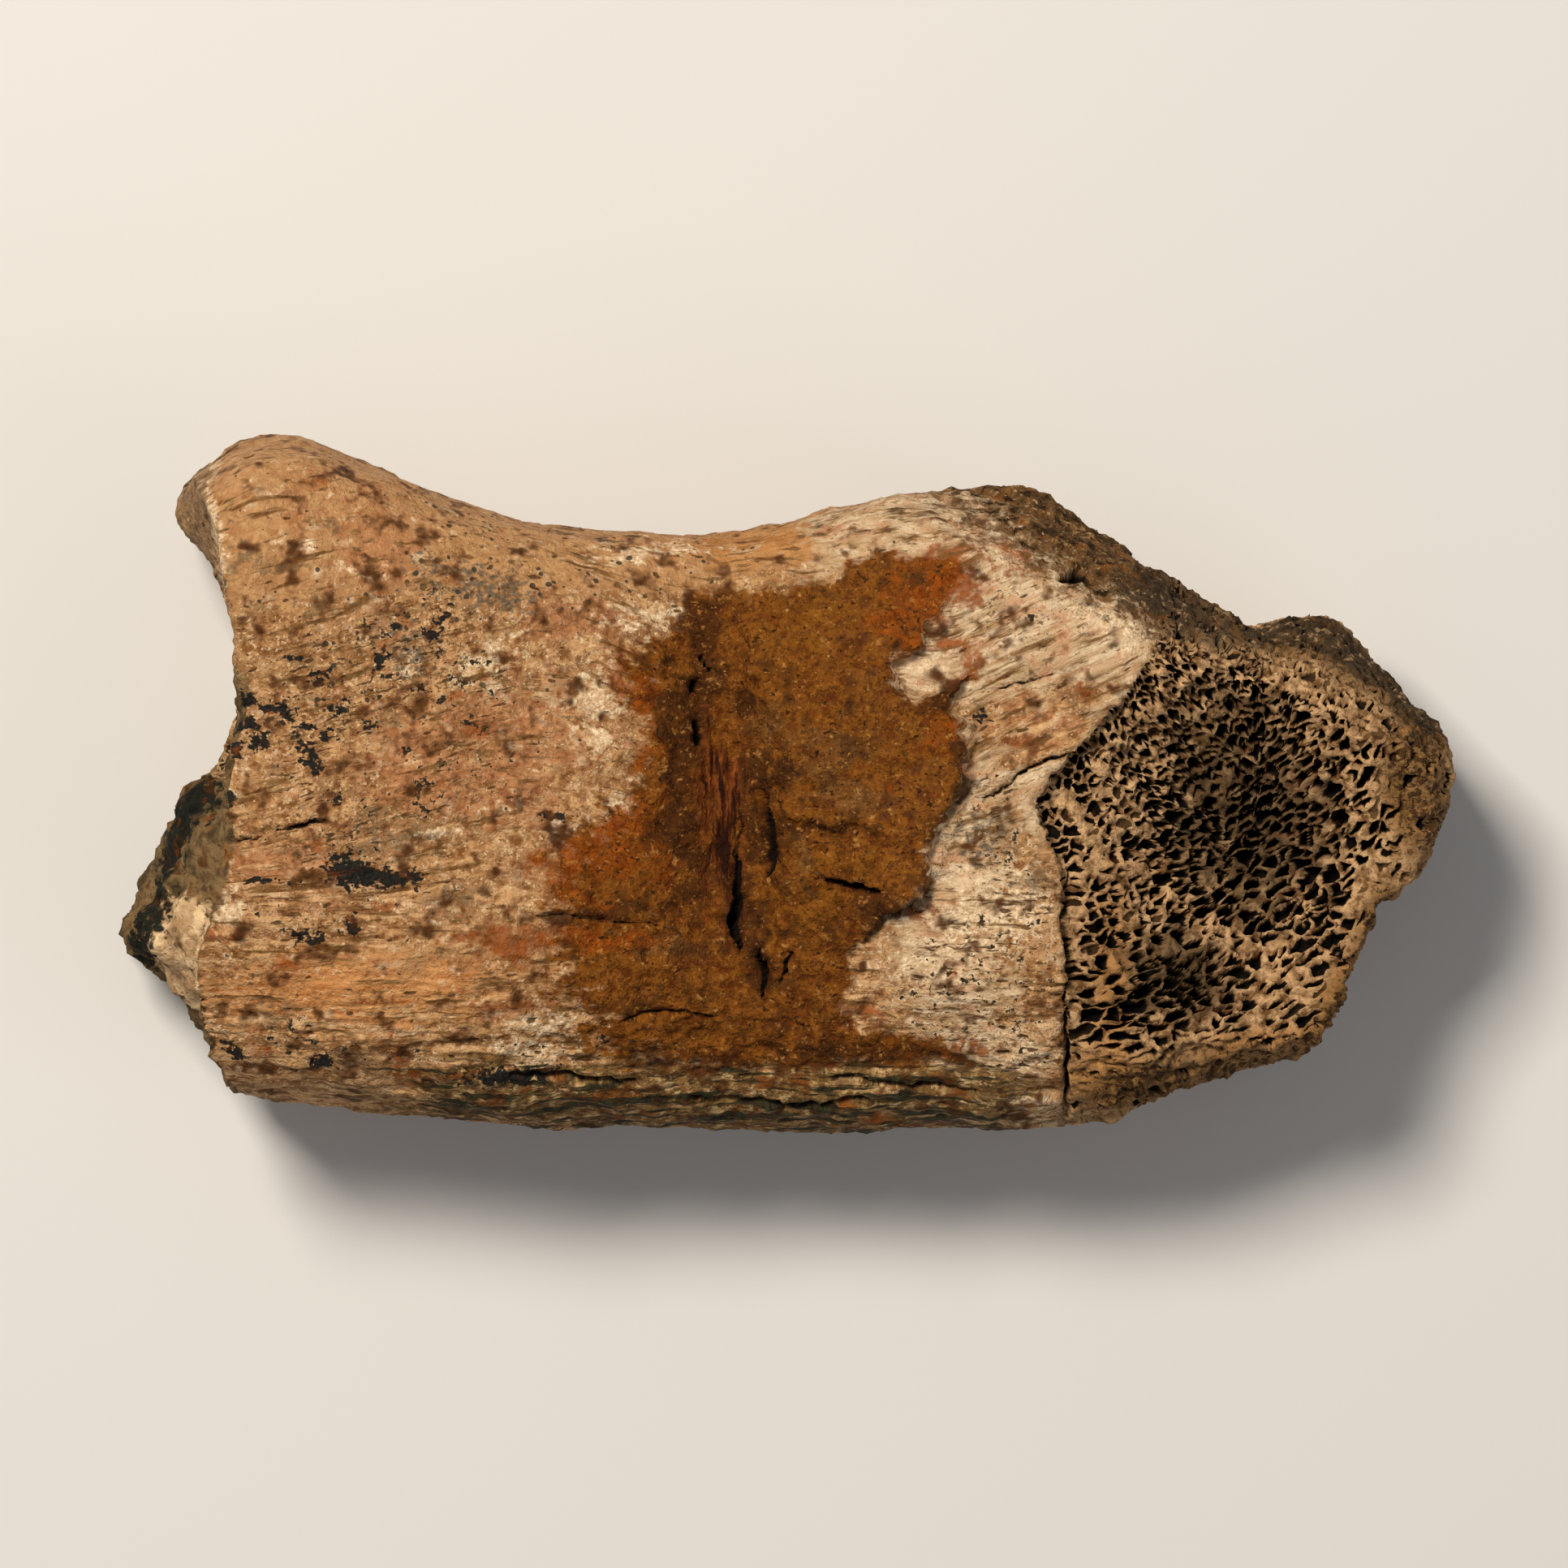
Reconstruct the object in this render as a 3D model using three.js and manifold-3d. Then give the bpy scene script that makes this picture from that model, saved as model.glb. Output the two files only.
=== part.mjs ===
// A broken piece of fossil dinosaur rib, lying on its back face.
// Millimetres, +Z up. X runs along the bone, Y across it, and it rests on the plane z = 0.
//
// The bone is one solid. A box with many segments is rounded into a bar with a soft, boxy section,
// the bar is stretched over the bone's outline, and its surface is raised and sunk by named features.
// The broken end is cut off along its fracture, the crust of hardened sediment is joined on,
// and open pores and cracks are cut last.

import * as THREE from 'three';
import { ImprovedNoise } from 'three/addons/math/ImprovedNoise.js';
import { mergeVertices } from 'three/addons/utils/BufferGeometryUtils.js';
import Module from 'manifold-3d';

const wasm = await Module();
wasm.setup();

const { clamp, lerp, smoothstep } = THREE.MathUtils;

// ---------------------------------------------------------------- driving dimensions

const HALF_LENGTH = 50;        // the height profiles are given over x = -50 to 50
const EQUATOR = 13;            // height at which the outline is widest
const SECTION_POWER = 3.2;     // 2 gives an oval section, higher is boxier
const END_POWER = 8;           // higher makes the rims of the two ends sharper
const SEGMENTS = { along: 40, across: 20, up: 8 };

// Height of the front face and of the back face, at even steps along the bone.
const FRONT_HEIGHTS = [29.5, 30, 29.6, 28.4, 27, 26.2, 26.6, 27.6, 28.4, 27, 23];
const BACK_HEIGHTS = [1, -0.7, -0.3, 1.4, 2.6, 3, 2.3, 0.6, -0.8, 0.4, 3.5];

// The outline, as seen from above: four edges that meet at the corners.
const TOP_EDGE = [
  [-44, 22.9], [-40.6, 25.1], [-36.6, 25.7], [-31.6, 24], [-22, 20.2], [-13.6, 18.7],
  [-2.2, 18.8], [7.1, 21.3], [13.4, 21.8], [18.2, 21.9], [24.8, 17.9], [26, 16], [33.2, 13],
  [34.4, 11.4], [37.6, 12.6], [40.8, 12.1], [43.6, 9.4],
];
const RIGHT_EDGE = [
  [38.3, -20.2], [40.2, -17.6], [41.9, -13.7], [43.6, -10.1], [44.2, -8.8], [46.9, -6.5],
  [49.1, -1.4], [49.5, 1.3], [48.8, 4], [43.6, 9.4],
];
const BOTTOM_EDGE = [
  [-40.7, -22.8], [-34, -23.7], [-22, -25], [-10, -25.5], [8, -25.7], [18.2, -25.5],
  [24.2, -24.8], [28.2, -22.7], [32.6, -21.5], [38.3, -20.2],
];
const LEFT_FRONT_EDGE = [
  [-40.7, -22.8], [-42.6, -20], [-43.9, -14], [-43.4, -10.8], [-41.8, -5], [-42.2, -1],
  [-40.8, 5], [-40.4, 10], [-41, 15], [-42, 20], [-44, 22.9],
];
const LEFT_BACK_EDGE = [
  [-40.7, -22.8], [-43.6, -18.2], [-46.6, -14.4], [-49.4, -11.4], [-48.2, -8.2], [-46.6, -4.6],
  [-44.6, -1.2], [-41.8, 2.4], [-40.4, 10], [-42.6, 16.2], [-45.2, 20], [-44, 22.9],
];

// The line where the front face breaks off into the spongy end, as x at even steps of y.
const FRACTURE_X = [20.6, 20.6, 20.7, 20.4, 20, 18.6, 22.8, 26.6, 28.4];
const FRACTURE_Y = { from: -26, to: 14 };

const PORES = { rows: 11, columns: 8, end: 10, leftEnd: 12, radius: [0.7, 1.2], stretch: 1.7 };
const REST_CLEARANCE = 4;      // pores in the two ends stay this far above the resting plane

// ---------------------------------------------------------------- helpers

// A smooth curve through values given at even steps from one end of a range to the other.
function profile(values, from, to) {
  const step = (to - from) / (values.length - 1);
  const curve = new THREE.SplineCurve(values.map((value, i) => new THREE.Vector2(from + i * step, value)));
  return (at) => curve.getPoint(clamp((at - from) / (to - from), 0, 1)).y;
}

function edge(points) {
  return new THREE.SplineCurve(points.map(([x, y]) => new THREE.Vector2(x, y)));
}

// The length of (a, b) where a power of 2 is the usual one, and a higher power measures a boxier circle.
function length(a, b, power) {
  return (Math.abs(a) ** power + Math.abs(b) ** power) ** (1 / power);
}

// How much to shrink (a, b) so that a square becomes a boxy circle.
function squareToRound(a, b, power) {
  const reach = Math.max(Math.abs(a), Math.abs(b));
  return reach > 0 ? reach / length(a, b, power) : 1;
}

// 1 at the centre of an oval patch, falling smoothly to nearly 0 at twice its radii.
function patch(x, y, { at, radii, turn = 0 }) {
  const spot = new THREE.Vector2(x - at[0], y - at[1]).rotateAround(new THREE.Vector2(), -turn);
  return Math.exp(-((spot.x / radii[0]) ** 2) - (spot.y / radii[1]) ** 2);
}

// Evenly spread numbers from 0 to 1 that come out the same on every run.
function seededRandom(seed) {
  let state = seed;
  return () => {
    state = (state * 1664525 + 1013904223) % 4294967296;
    return state / 4294967296;
  };
}

// ---------------------------------------------------------------- the bar and its outline

// Takes a point on the surface of a box from -1 to 1 to the surface of a rounded bar.
function roundBar(point) {
  const { x: u, y: v, z: w } = point;
  const toSection = squareToRound(v, w, SECTION_POWER);
  const toEnd = squareToRound(u, w * toSection, END_POWER);
  return new THREE.Vector3(u * toEnd, v * toSection, w * toSection * toEnd);
}

const outline = {
  top: edge(TOP_EDGE),
  right: edge(RIGHT_EDGE),
  bottom: edge(BOTTOM_EDGE),
  leftFront: edge(LEFT_FRONT_EDGE),
  leftBack: edge(LEFT_BACK_EDGE),
};

// The place in plan of (u, v): a patch stretched between the outline's four edges. Lower down, the left
// edge is the one of the back half, which stands out past the front face.
function plan(u, v, w) {
  const s = (u + 1) / 2;
  const t = (v + 1) / 2;
  const toFront = smoothstep(w, 0.1, 0.62);
  const left = outline.leftBack.getPointAt(t).lerp(outline.leftFront.getPointAt(t), toFront);
  const right = outline.right.getPointAt(t);
  const bottom = outline.bottom.getPointAt(s);
  const top = outline.top.getPointAt(s);
  const corners = new THREE.Vector2()
    .addScaledVector(outline.bottom.getPoint(0), (1 - s) * (1 - t))
    .addScaledVector(outline.bottom.getPoint(1), s * (1 - t))
    .addScaledVector(outline.top.getPoint(0), (1 - s) * t)
    .addScaledVector(outline.top.getPoint(1), s * t);
  return new THREE.Vector2()
    .addScaledVector(left, 1 - s)
    .addScaledVector(right, s)
    .addScaledVector(bottom, 1 - t)
    .addScaledVector(top, t)
    .sub(corners);
}

// ---------------------------------------------------------------- features of the front face

const frontHeight = profile(FRONT_HEIGHTS, -HALF_LENGTH, HALF_LENGTH);
const backHeight = profile(BACK_HEIGHTS, -HALF_LENGTH, HALF_LENGTH);

// The worn slope between the front face and the top edge, right of the saddle.
const SLOPE = { from: [9, 19.4], normal: [0.414, 0.91], fall: 0.85, most: 6.5 };

function wornSlope(x, y) {
  const past = (x - SLOPE.from[0]) * SLOPE.normal[0] + (y - SLOPE.from[1]) * SLOPE.normal[1];
  return -Math.min(SLOPE.most, SLOPE.fall * Math.max(0, past)) * smoothstep(x, 6, 14);
}

// The hollow across the front face, left of the crust.
const HOLLOW = { at: [-4.6, 0], radii: [3.6, 14.5], turn: 0.13, depth: 2.6 };

// Gentle swells and sinks of the front face.
const SWELLS = [
  { at: [-39, 20], radii: [7, 6], rise: 0.8 },
  { at: [-20, -12], radii: [16, 5], rise: 0.7 },
  { at: [-26, 6], radii: [12, 6], rise: -0.8 },
  { at: [14, -14], radii: [7, 6], rise: 0.7 },
  { at: [2, -20], radii: [22, 2.2], rise: -0.7 },
  { at: [43, 2], radii: [5, 8], rise: 1.6 },
];

function frontFeatures(x, y) {
  const swells = SWELLS.reduce((sum, swell) => sum + swell.rise * patch(x, y, swell), 0);
  const hollow = -HOLLOW.depth * patch(x, y, HOLLOW);
  return swells + hollow + wornSlope(x, y);
}

// ---------------------------------------------------------------- the body

// The left end is broken across and dished: its middle lies behind the front rim, and its lower back part
// stands out past it.
const LEFT_DISH = 2.6;

function bonePoint(barPoint) {
  const { x: u, y: v, z: w } = barPoint;
  const { x, y } = plan(u, v, w);
  const inner = 1 - Math.min(1, length(v, w, 4)) ** 3;
  const dish = LEFT_DISH * inner * smoothstep(-u, 0.9, 1) * smoothstep(w, -0.4, 0.3);
  const featured = frontFeatures(x, y) * smoothstep(w, 0, 0.7);
  const height = w > 0
    ? EQUATOR + w * (frontHeight(x) - EQUATOR) + featured
    : EQUATOR + w * (EQUATOR - backHeight(x));
  return new THREE.Vector3(x + dish, y, height);
}

const noise = new ImprovedNoise();

// Coarse and fine bumps, both longer along the bone than across it. About -1.7 to 1.7.
function bumps({ x, y, z }) {
  return noise.noise(x / 9, y / 5, z / 5) + 0.7 * noise.noise(x / 4 + 20, y / 2.4, z / 2.4);
}

// How far the bumps reach: broken ends are rougher than the hard outer bone.
const ROUGHNESS = { face: 0.4, break: 1 };

// Moves each point along its normal by the bumps, and flattens what would sink below the resting plane.
function roughen(geometry, barPoints) {
  const { position, normal } = geometry.attributes;
  const point = new THREE.Vector3();
  const outward = new THREE.Vector3();
  for (let i = 0; i < position.count; i++) {
    point.fromBufferAttribute(position, i);
    outward.fromBufferAttribute(normal, i);
    const towardEnd = smoothstep(Math.abs(barPoints[i].x), 0.93, 1);
    const rise = bumps(point) * lerp(ROUGHNESS.face, ROUGHNESS.break, towardEnd);
    point.addScaledVector(outward, rise);
    position.setXYZ(i, point.x, point.y, Math.max(0, point.z));
  }
}

function makeBody() {
  const box = new THREE.BoxGeometry(2, 2, 2, SEGMENTS.along, SEGMENTS.across, SEGMENTS.up);
  box.deleteAttribute('normal');
  box.deleteAttribute('uv');
  const geometry = mergeVertices(box);
  const { position } = geometry.attributes;
  const barPoints = [];
  for (let i = 0; i < position.count; i++) {
    const barPoint = roundBar(new THREE.Vector3().fromBufferAttribute(position, i));
    barPoints.push(barPoint);
    const { x, y, z } = bonePoint(barPoint);
    position.setXYZ(i, x, y, z);
  }
  geometry.computeVertexNormals();
  roughen(geometry, barPoints);
  return geometry;
}

// ---------------------------------------------------------------- solids and rays

function toSolid(geometry) {
  const bare = geometry.clone();
  bare.deleteAttribute('normal');
  bare.deleteAttribute('uv');
  const merged = mergeVertices(bare);
  const indices = merged.index ? merged.index.array : [...merged.attributes.position.array.keys()];
  return new wasm.Manifold(new wasm.Mesh({
    numProp: 3,
    vertProperties: merged.attributes.position.array,
    triVerts: new Uint32Array(indices),
  }));
}

function toGeometry(solid) {
  const { vertProperties, triVerts } = solid.getMesh();
  const geometry = new THREE.BufferGeometry();
  geometry.setAttribute('position', new THREE.BufferAttribute(vertProperties, 3));
  geometry.setIndex(new THREE.BufferAttribute(triVerts, 1));
  geometry.computeVertexNormals();
  return geometry;
}

// A function that gives the first point of a shape that a straight line meets.
function firstHitOn(geometry) {
  const target = new THREE.Mesh(geometry, new THREE.MeshBasicMaterial({ side: THREE.DoubleSide }));
  const ray = new THREE.Raycaster();
  return (from, direction) => {
    ray.set(from, direction);
    return ray.intersectObject(target)[0]?.point;
  };
}

const ABOVE = 60;
const DOWN = new THREE.Vector3(0, 0, -1);

// A closed slab over a region of the front face. along and across run from 0 to 1 over the region, and
// place(along, across) gives its x and y there; under and over give its lower and upper height.
function slab({ segments, place, under, over }) {
  const box = new THREE.BoxGeometry(1, 1, 1, segments.along, segments.across, 1);
  const { position } = box.attributes;
  for (let i = 0; i < position.count; i++) {
    const [x, y] = place(position.getX(i) + 0.5, position.getY(i) + 0.5);
    position.setXYZ(i, x, y, position.getZ(i) < 0 ? under(x, y) : over(x, y));
  }
  return box;
}

// ---------------------------------------------------------------- the broken spongy end

// The break steps down at the fracture line, then sinks to a bowl whose deepest part is off centre.
const BOWL = { at: [34, -5.5], radii: [9.5, 13], turn: 0.2, depth: 6.2 };
const BREAK = { step: 1.4, rough: 0.55, margin: 12, segments: { along: 9, across: 15 } };
const fractureX = profile(FRACTURE_X, FRACTURE_Y.from, FRACTURE_Y.to);

function breakFloor(x, y) {
  const bowl = BOWL.depth * patch(x, y, BOWL) * smoothstep(x - fractureX(y), -1, 7);
  const surface = frontHeight(x) + frontFeatures(x, y);
  return surface - BREAK.step - bowl + BREAK.rough * bumps({ x, y, z: 0 });
}

const breakCutter = slab({
  segments: BREAK.segments,
  place: (along, across) => {
    const y = lerp(FRACTURE_Y.from - 4, FRACTURE_Y.to + 4, across);
    return [lerp(fractureX(y), HALF_LENGTH + BREAK.margin, along), y];
  },
  under: breakFloor,
  over: () => ABOVE,
});

// ---------------------------------------------------------------- the sediment crust

// A crust of hardened sediment on the middle of the front face, with broken edges to its left and right.
// Its edges are x at even steps of y.
const CRUST_LEFT_X = [-3, -1.6, -0.9, -1.2, -0.8, -2.6, -3.4, -3];
const CRUST_RIGHT_X = [5.4, 6.4, 10.4, 12.2, 13.4, 12.2, 12, 10];
const CRUST_Y = { from: -15, to: 15 };
const CRUST = { rise: 1.2, dip: -0.5, sunk: 3, rough: 0.25, segments: { along: 7, across: 14 } };
const crustLeftX = profile(CRUST_LEFT_X, CRUST_Y.from, CRUST_Y.to);
const crustRightX = profile(CRUST_RIGHT_X, CRUST_Y.from, CRUST_Y.to);

function crustSlab(firstHit) {
  const surface = (x, y) => firstHit(new THREE.Vector3(x, y, ABOVE), DOWN).z;
  return slab({
    segments: CRUST.segments,
    place: (along, across) => {
      const y = lerp(CRUST_Y.from, CRUST_Y.to, across);
      return [lerp(crustLeftX(y), crustRightX(y), along), y];
    },
    under: (x, y) => surface(x, y) - CRUST.sunk,
    over: (x, y) => {
      const fade = smoothstep(y, CRUST_Y.from - 2, -8) * (1 - smoothstep(y, 8, CRUST_Y.to + 2));
      const lumps = CRUST.rough * bumps({ x: 2 * x, y: 2 * y, z: 7 });
      return surface(x, y) + lerp(CRUST.dip, CRUST.rise, fade) + lumps;
    },
  });
}

// ---------------------------------------------------------------- pores and cracks

const random = seededRandom(7);
const between = (low, high) => lerp(low, high, random());

function pore(at, radii, turn) {
  const made = new THREE.IcosahedronGeometry(1, 0);
  made.scale(radii[0], radii[1], radii[2]);
  made.rotateZ(turn);
  return made.translate(at.x, at.y, at.z);
}

// Pores in the break: long ovals in staggered rows, leaning with the struts of bone between them.
function breakPores(firstHit) {
  const made = [];
  for (let row = 0; row < PORES.rows; row++) {
    for (let column = 0; column < PORES.columns; column++) {
      const y = lerp(-21, 9, row / (PORES.rows - 1)) + between(-1, 1);
      const x = 23 + (column + 0.5 * (row % 2)) * 3 + between(-1, 1);
      const radius = between(...PORES.radius);
      const turn = between(0.2, 0.8);
      const hit = firstHit(new THREE.Vector3(x, y, ABOVE), DOWN);
      const onSponge = x > fractureX(y) + 1.6 && hit && hit.z > EQUATOR + 3;
      if (onSponge) made.push(pore(hit, [radius * PORES.stretch, radius * 0.8, radius * 1.4], turn));
    }
  }
  return made;
}

// Pores in an end, found by lines that run along the bone. side is 1 for the right end, -1 for the left.
function endPores(firstHit, side, count, low, high) {
  const made = [];
  const golden = 0.618;
  for (let i = 0; i < count; i++) {
    const y = lerp(low, high, (i * golden) % 1);
    const z = between(REST_CLEARANCE, EQUATOR + 7);
    const radius = between(...PORES.radius);
    const hit = firstHit(new THREE.Vector3(side * 80, y, z), new THREE.Vector3(-side, 0, 0));
    if (hit) made.push(pore(hit, [radius * 1.4, radius, radius * 1.2], 0));
  }
  return made;
}

// Cracks in the hollow, from end to end: their middle line leans and bends, and they taper to points.
const CRACKS = [
  { from: [-3.3, -12.4], to: [-4.1, -5], bend: 0.5, width: 1 },
  { from: [-1.5, -5.6], to: [-2.2, -0.4], bend: -0.5, width: 0.8 },
  { from: [-1.5, -15.8], to: [-2.3, -12.6], bend: 0.3, width: 0.7 },
  { from: [-6.4, 3], to: [-5.8, 9.6], bend: 0.8, width: 1.1 },
];
const CRACK = { depth: 3.2, steps: 5 };

function crack(firstHit, { from, to, bend, width }) {
  const start = new THREE.Vector2(...from);
  const along = new THREE.Vector2(...to).sub(start);
  const across = new THREE.Vector2(-along.y, along.x).normalize();
  const side = (share, offset) => start.clone()
    .addScaledVector(along, share)
    .addScaledVector(across, bend * Math.sin(share * 2 * Math.PI) + offset * Math.sin(share * Math.PI));
  const shares = [...Array(CRACK.steps).keys()].map((i) => (i + 0.5) / CRACK.steps);
  const there = shares.map((share) => side(share, -width / 2));
  const back = shares.reverse().map((share) => side(share, width / 2));
  const slit = new THREE.Shape([side(0, 0), ...there, side(1, 0), ...back]);
  const made = new THREE.ExtrudeGeometry(slit, { depth: ABOVE, bevelEnabled: false });
  const middle = side(0.5, 0);
  const hit = firstHit(new THREE.Vector3(middle.x, middle.y, ABOVE), DOWN);
  return made.translate(0, 0, hit.z - CRACK.depth);
}

// ---------------------------------------------------------------- the finished part

const crustless = toSolid(makeBody()).subtract(toSolid(breakCutter));
const crusted = crustless.add(toSolid(crustSlab(firstHitOn(toGeometry(crustless)))));
const firstHit = firstHitOn(toGeometry(crusted));
const cuts = [
  ...breakPores(firstHit),
  ...endPores(firstHit, 1, PORES.end, -18, 8),
  ...endPores(firstHit, -1, PORES.leftEnd, -18, 18),
  ...CRACKS.map((line) => crack(firstHit, line)),
];
const cutBody = cuts.reduce((solid, cut) => solid.subtract(toSolid(cut)), crusted);

// Slivers that neighbouring pores cut free are left out.
const bone = cutBody.decompose().sort((a, b) => b.volume() - a.volume())[0];

// The origin is under the middle of the bone, on the resting plane.
const boneGeometry = toGeometry(bone);
boneGeometry.computeBoundingBox();
const middle = boneGeometry.boundingBox.getCenter(new THREE.Vector3());
boneGeometry.translate(-middle.x, -middle.y, -boneGeometry.boundingBox.min.z);

const mineralisedBone = new THREE.MeshStandardMaterial({ color: 0xb58658, roughness: 0.75, metalness: 0 });

const part = new THREE.Group();
const ribBone = new THREE.Mesh(boneGeometry, mineralisedBone);
ribBone.name = 'rib_bone';
part.add(ribBone);

export default part;
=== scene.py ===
# %% [markdown]
# # A broken piece of fossil rib
# The object is a piece of bone that has turned to stone. It is about 100 mm long, it lies on its back face,
# and one end has broken away so that the spongy inside shows. A crust of hardened sediment is cemented to
# its middle. There is nothing to assemble here: the whole lesson is about one skin and what weather, water
# and minerals did to it.
#
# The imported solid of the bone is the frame: it has the right size and place, and it stays in the file for
# collision. The lesson builds one fine mesh that stands for it. The steps are these:
# 1. the camera, the outline and a dense, closed skin in the outline's shape;
# 2. maps painted on the skin by short lists of patches: where the crust lies, where spots gather;
# 3. relief from procedural textures, made into real geometry with Geometry Nodes;
# 4. a material that reads the same maps and textures, so that every pore is dark where it is deep;
# 5. a pale board, two soft lamps and a last look at the size.

# %% Load the frame
import bpy
import numpy as np
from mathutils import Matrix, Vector


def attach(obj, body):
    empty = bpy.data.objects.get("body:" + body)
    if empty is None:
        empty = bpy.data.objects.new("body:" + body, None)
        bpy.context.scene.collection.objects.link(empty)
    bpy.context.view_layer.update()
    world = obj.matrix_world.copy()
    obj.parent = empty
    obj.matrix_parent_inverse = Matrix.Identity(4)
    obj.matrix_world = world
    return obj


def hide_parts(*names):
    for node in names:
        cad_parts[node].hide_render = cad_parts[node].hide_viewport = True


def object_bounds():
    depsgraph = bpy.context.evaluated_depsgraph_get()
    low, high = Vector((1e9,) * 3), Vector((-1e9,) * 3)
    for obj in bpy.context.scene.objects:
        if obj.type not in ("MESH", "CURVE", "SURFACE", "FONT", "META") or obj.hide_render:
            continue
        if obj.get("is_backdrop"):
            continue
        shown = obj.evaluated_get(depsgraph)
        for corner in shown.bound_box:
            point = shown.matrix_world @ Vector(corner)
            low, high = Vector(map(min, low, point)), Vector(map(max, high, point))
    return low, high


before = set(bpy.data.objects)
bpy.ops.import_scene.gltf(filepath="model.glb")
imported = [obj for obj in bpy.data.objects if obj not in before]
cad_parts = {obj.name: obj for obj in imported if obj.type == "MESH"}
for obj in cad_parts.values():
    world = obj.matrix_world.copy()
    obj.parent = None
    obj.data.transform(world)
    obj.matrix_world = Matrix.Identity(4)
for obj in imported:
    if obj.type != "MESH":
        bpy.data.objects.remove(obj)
cad_low, cad_high = [np.array(corner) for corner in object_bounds()]
print("frame size in mm:", (cad_high - cad_low) * 1000)

# %% [markdown]
# ## Units
# Blender works in metres, but bone is read in millimetres: a pore is 1 mm wide and a crack 0.4 mm. The shape
# is worked out in millimetres and turned to metres once, at the end. Colours are written as sRGB hex values,
# as a paint chart gives them, and one function turns them to the linear values that Blender mixes.

# %% Units and colours
MM = 0.001


def linear(hex_colour):
    channels = np.array([int(hex_colour[i:i + 2], 16) / 255 for i in (1, 3, 5)])
    low, high = channels / 12.92, ((channels + 0.055) / 1.055) ** 2.4
    return (*np.where(channels <= 0.04045, low, high), 1.0)


print("mid grey, #808080, is", round(float(linear("#808080")[0]), 3), "in linear values")

# %% [markdown]
# ## The camera
# A loose fossil is best seen from straight above, as on a copy stand. A long lens far away keeps the outline
# true: near and far parts of the bone show at almost the same scale. The view is square and takes in a
# little more than the bone's length, and its lens follows from that width and the distance.

# %% Camera
VIEW_WIDTH = 115.92 * MM       # what the square view spans at the bone's widest level
CAMERA_DISTANCE = 0.9          # m
EQUATOR = 13                   # mm, the level where the bone is widest
SENSOR = 36                    # mm
FARTHEST = 10                  # m, what lies beyond isn't drawn

camera_data = bpy.data.cameras.new("copy_stand_camera")
camera_data.sensor_width = SENSOR
camera_data.lens = SENSOR * CAMERA_DISTANCE / VIEW_WIDTH
camera_data.clip_end = FARTHEST
camera = bpy.data.objects.new("copy_stand_camera", camera_data)
camera.location = (0, 0, EQUATOR * MM + CAMERA_DISTANCE)
bpy.context.scene.collection.objects.link(camera)
bpy.context.scene.camera = camera
print("lens in mm:", round(camera_data.lens))

# %% [markdown]
# ## The outline
# Seen from above, the bone has a smooth lobe, a saddle, a worn shoulder, a blunt broken end with a notch, and
# a nearly straight lower edge. Each edge is a short list of points, in millimetres, with a smooth curve drawn
# through them. At the left end the back half stands out past the front, so that edge has two lists.

# %% Edges of the outline
TOP_EDGE = [
    (-44, 22.9), (-40.6, 25.1), (-36.6, 25.7), (-31.6, 24), (-22, 20.2), (-13.6, 18.7), (-2.2, 18.8),
    (7.1, 21.3), (13.4, 21.8), (18.2, 21.9), (24.4, 18), (26.6, 15.9), (32.8, 13), (34.6, 11.7),
    (37.6, 12.6), (40.8, 12.1), (43.6, 9.4), (48.8, 4),
]
RIGHT_EDGE = [
    (38.3, -20.2), (40.2, -17.6), (41.9, -13.7), (43.6, -10.1), (44.2, -8.8), (46.9, -6.5), (49.1, -1.4),
    (49.5, 1.3), (48.8, 4),
]
BOTTOM_EDGE = [
    (-40.7, -22.8), (-34, -23.7), (-22, -25), (-10, -25.5), (8, -25.7), (18.2, -25.5), (24.2, -24.8),
    (28.2, -22.7), (32.6, -21.5), (38.3, -20.2),
]
LEFT_FRONT_EDGE = [
    (-40.7, -22.8), (-42.6, -20), (-43.9, -14), (-43.4, -10.8), (-41.8, -5), (-42.2, -1), (-40.8, 5),
    (-40.4, 10), (-41, 15), (-42, 20), (-44, 22.9),
]
LEFT_BACK_EDGE = [
    (-40.7, -22.8), (-43.6, -18.2), (-46.6, -14.4), (-49.4, -11.4), (-48.2, -8.2), (-46.6, -4.6),
    (-44.6, -1.2), (-41.8, 2.4), (-40.4, 10), (-42.6, 16.2), (-45.2, 20), (-44, 22.9),
]
print("points round the front:", len(TOP_EDGE + RIGHT_EDGE + BOTTOM_EDGE + LEFT_FRONT_EDGE))

# %% [markdown]
# Between two points runs a piece of a cubic curve that takes its slope from the neighbouring points, so that
# the pieces meet without a kink. Blender's curve objects could do this too, but plain arithmetic answers for
# every point of the skin at once. A soft step and a straight mix of two values are used all through.

# %% Curves through points
STEPS_PER_POINT = 30


def smooth_curve(points):
    """Close-set points of a smooth curve through the given ones."""
    points = np.asarray(points, float)
    padded = np.vstack([points[0], points, points[-1]])
    at = np.linspace(0, len(points) - 1, STEPS_PER_POINT * len(points))
    k = np.minimum(at.astype(int), len(points) - 2)
    t = (at - k)[:, None]
    a, b, c, d = (padded[k + n] for n in range(4))
    return b + 0.5 * t * (c - a + t * (2 * a - 5 * b + 4 * c - d + t * (3 * b - a - 3 * c + d)))


def along(edge, share):
    """The places on an edge at shares of its length, from 0 to 1."""
    curve = smooth_curve(edge)
    steps = np.linalg.norm(np.diff(curve, axis=0), axis=1)
    travelled = np.concatenate([[0], np.cumsum(steps)]) / steps.sum()
    return np.stack([np.interp(share, travelled, curve[:, n]) for n in (0, 1)], axis=-1)


def profile(values, start, stop, at):
    """A smooth curve through values at even steps from start to stop, read at the places given."""
    curve = smooth_curve(list(zip(np.linspace(start, stop, len(values)), values)))
    return np.interp(at, curve[:, 0], curve[:, 1])


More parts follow.
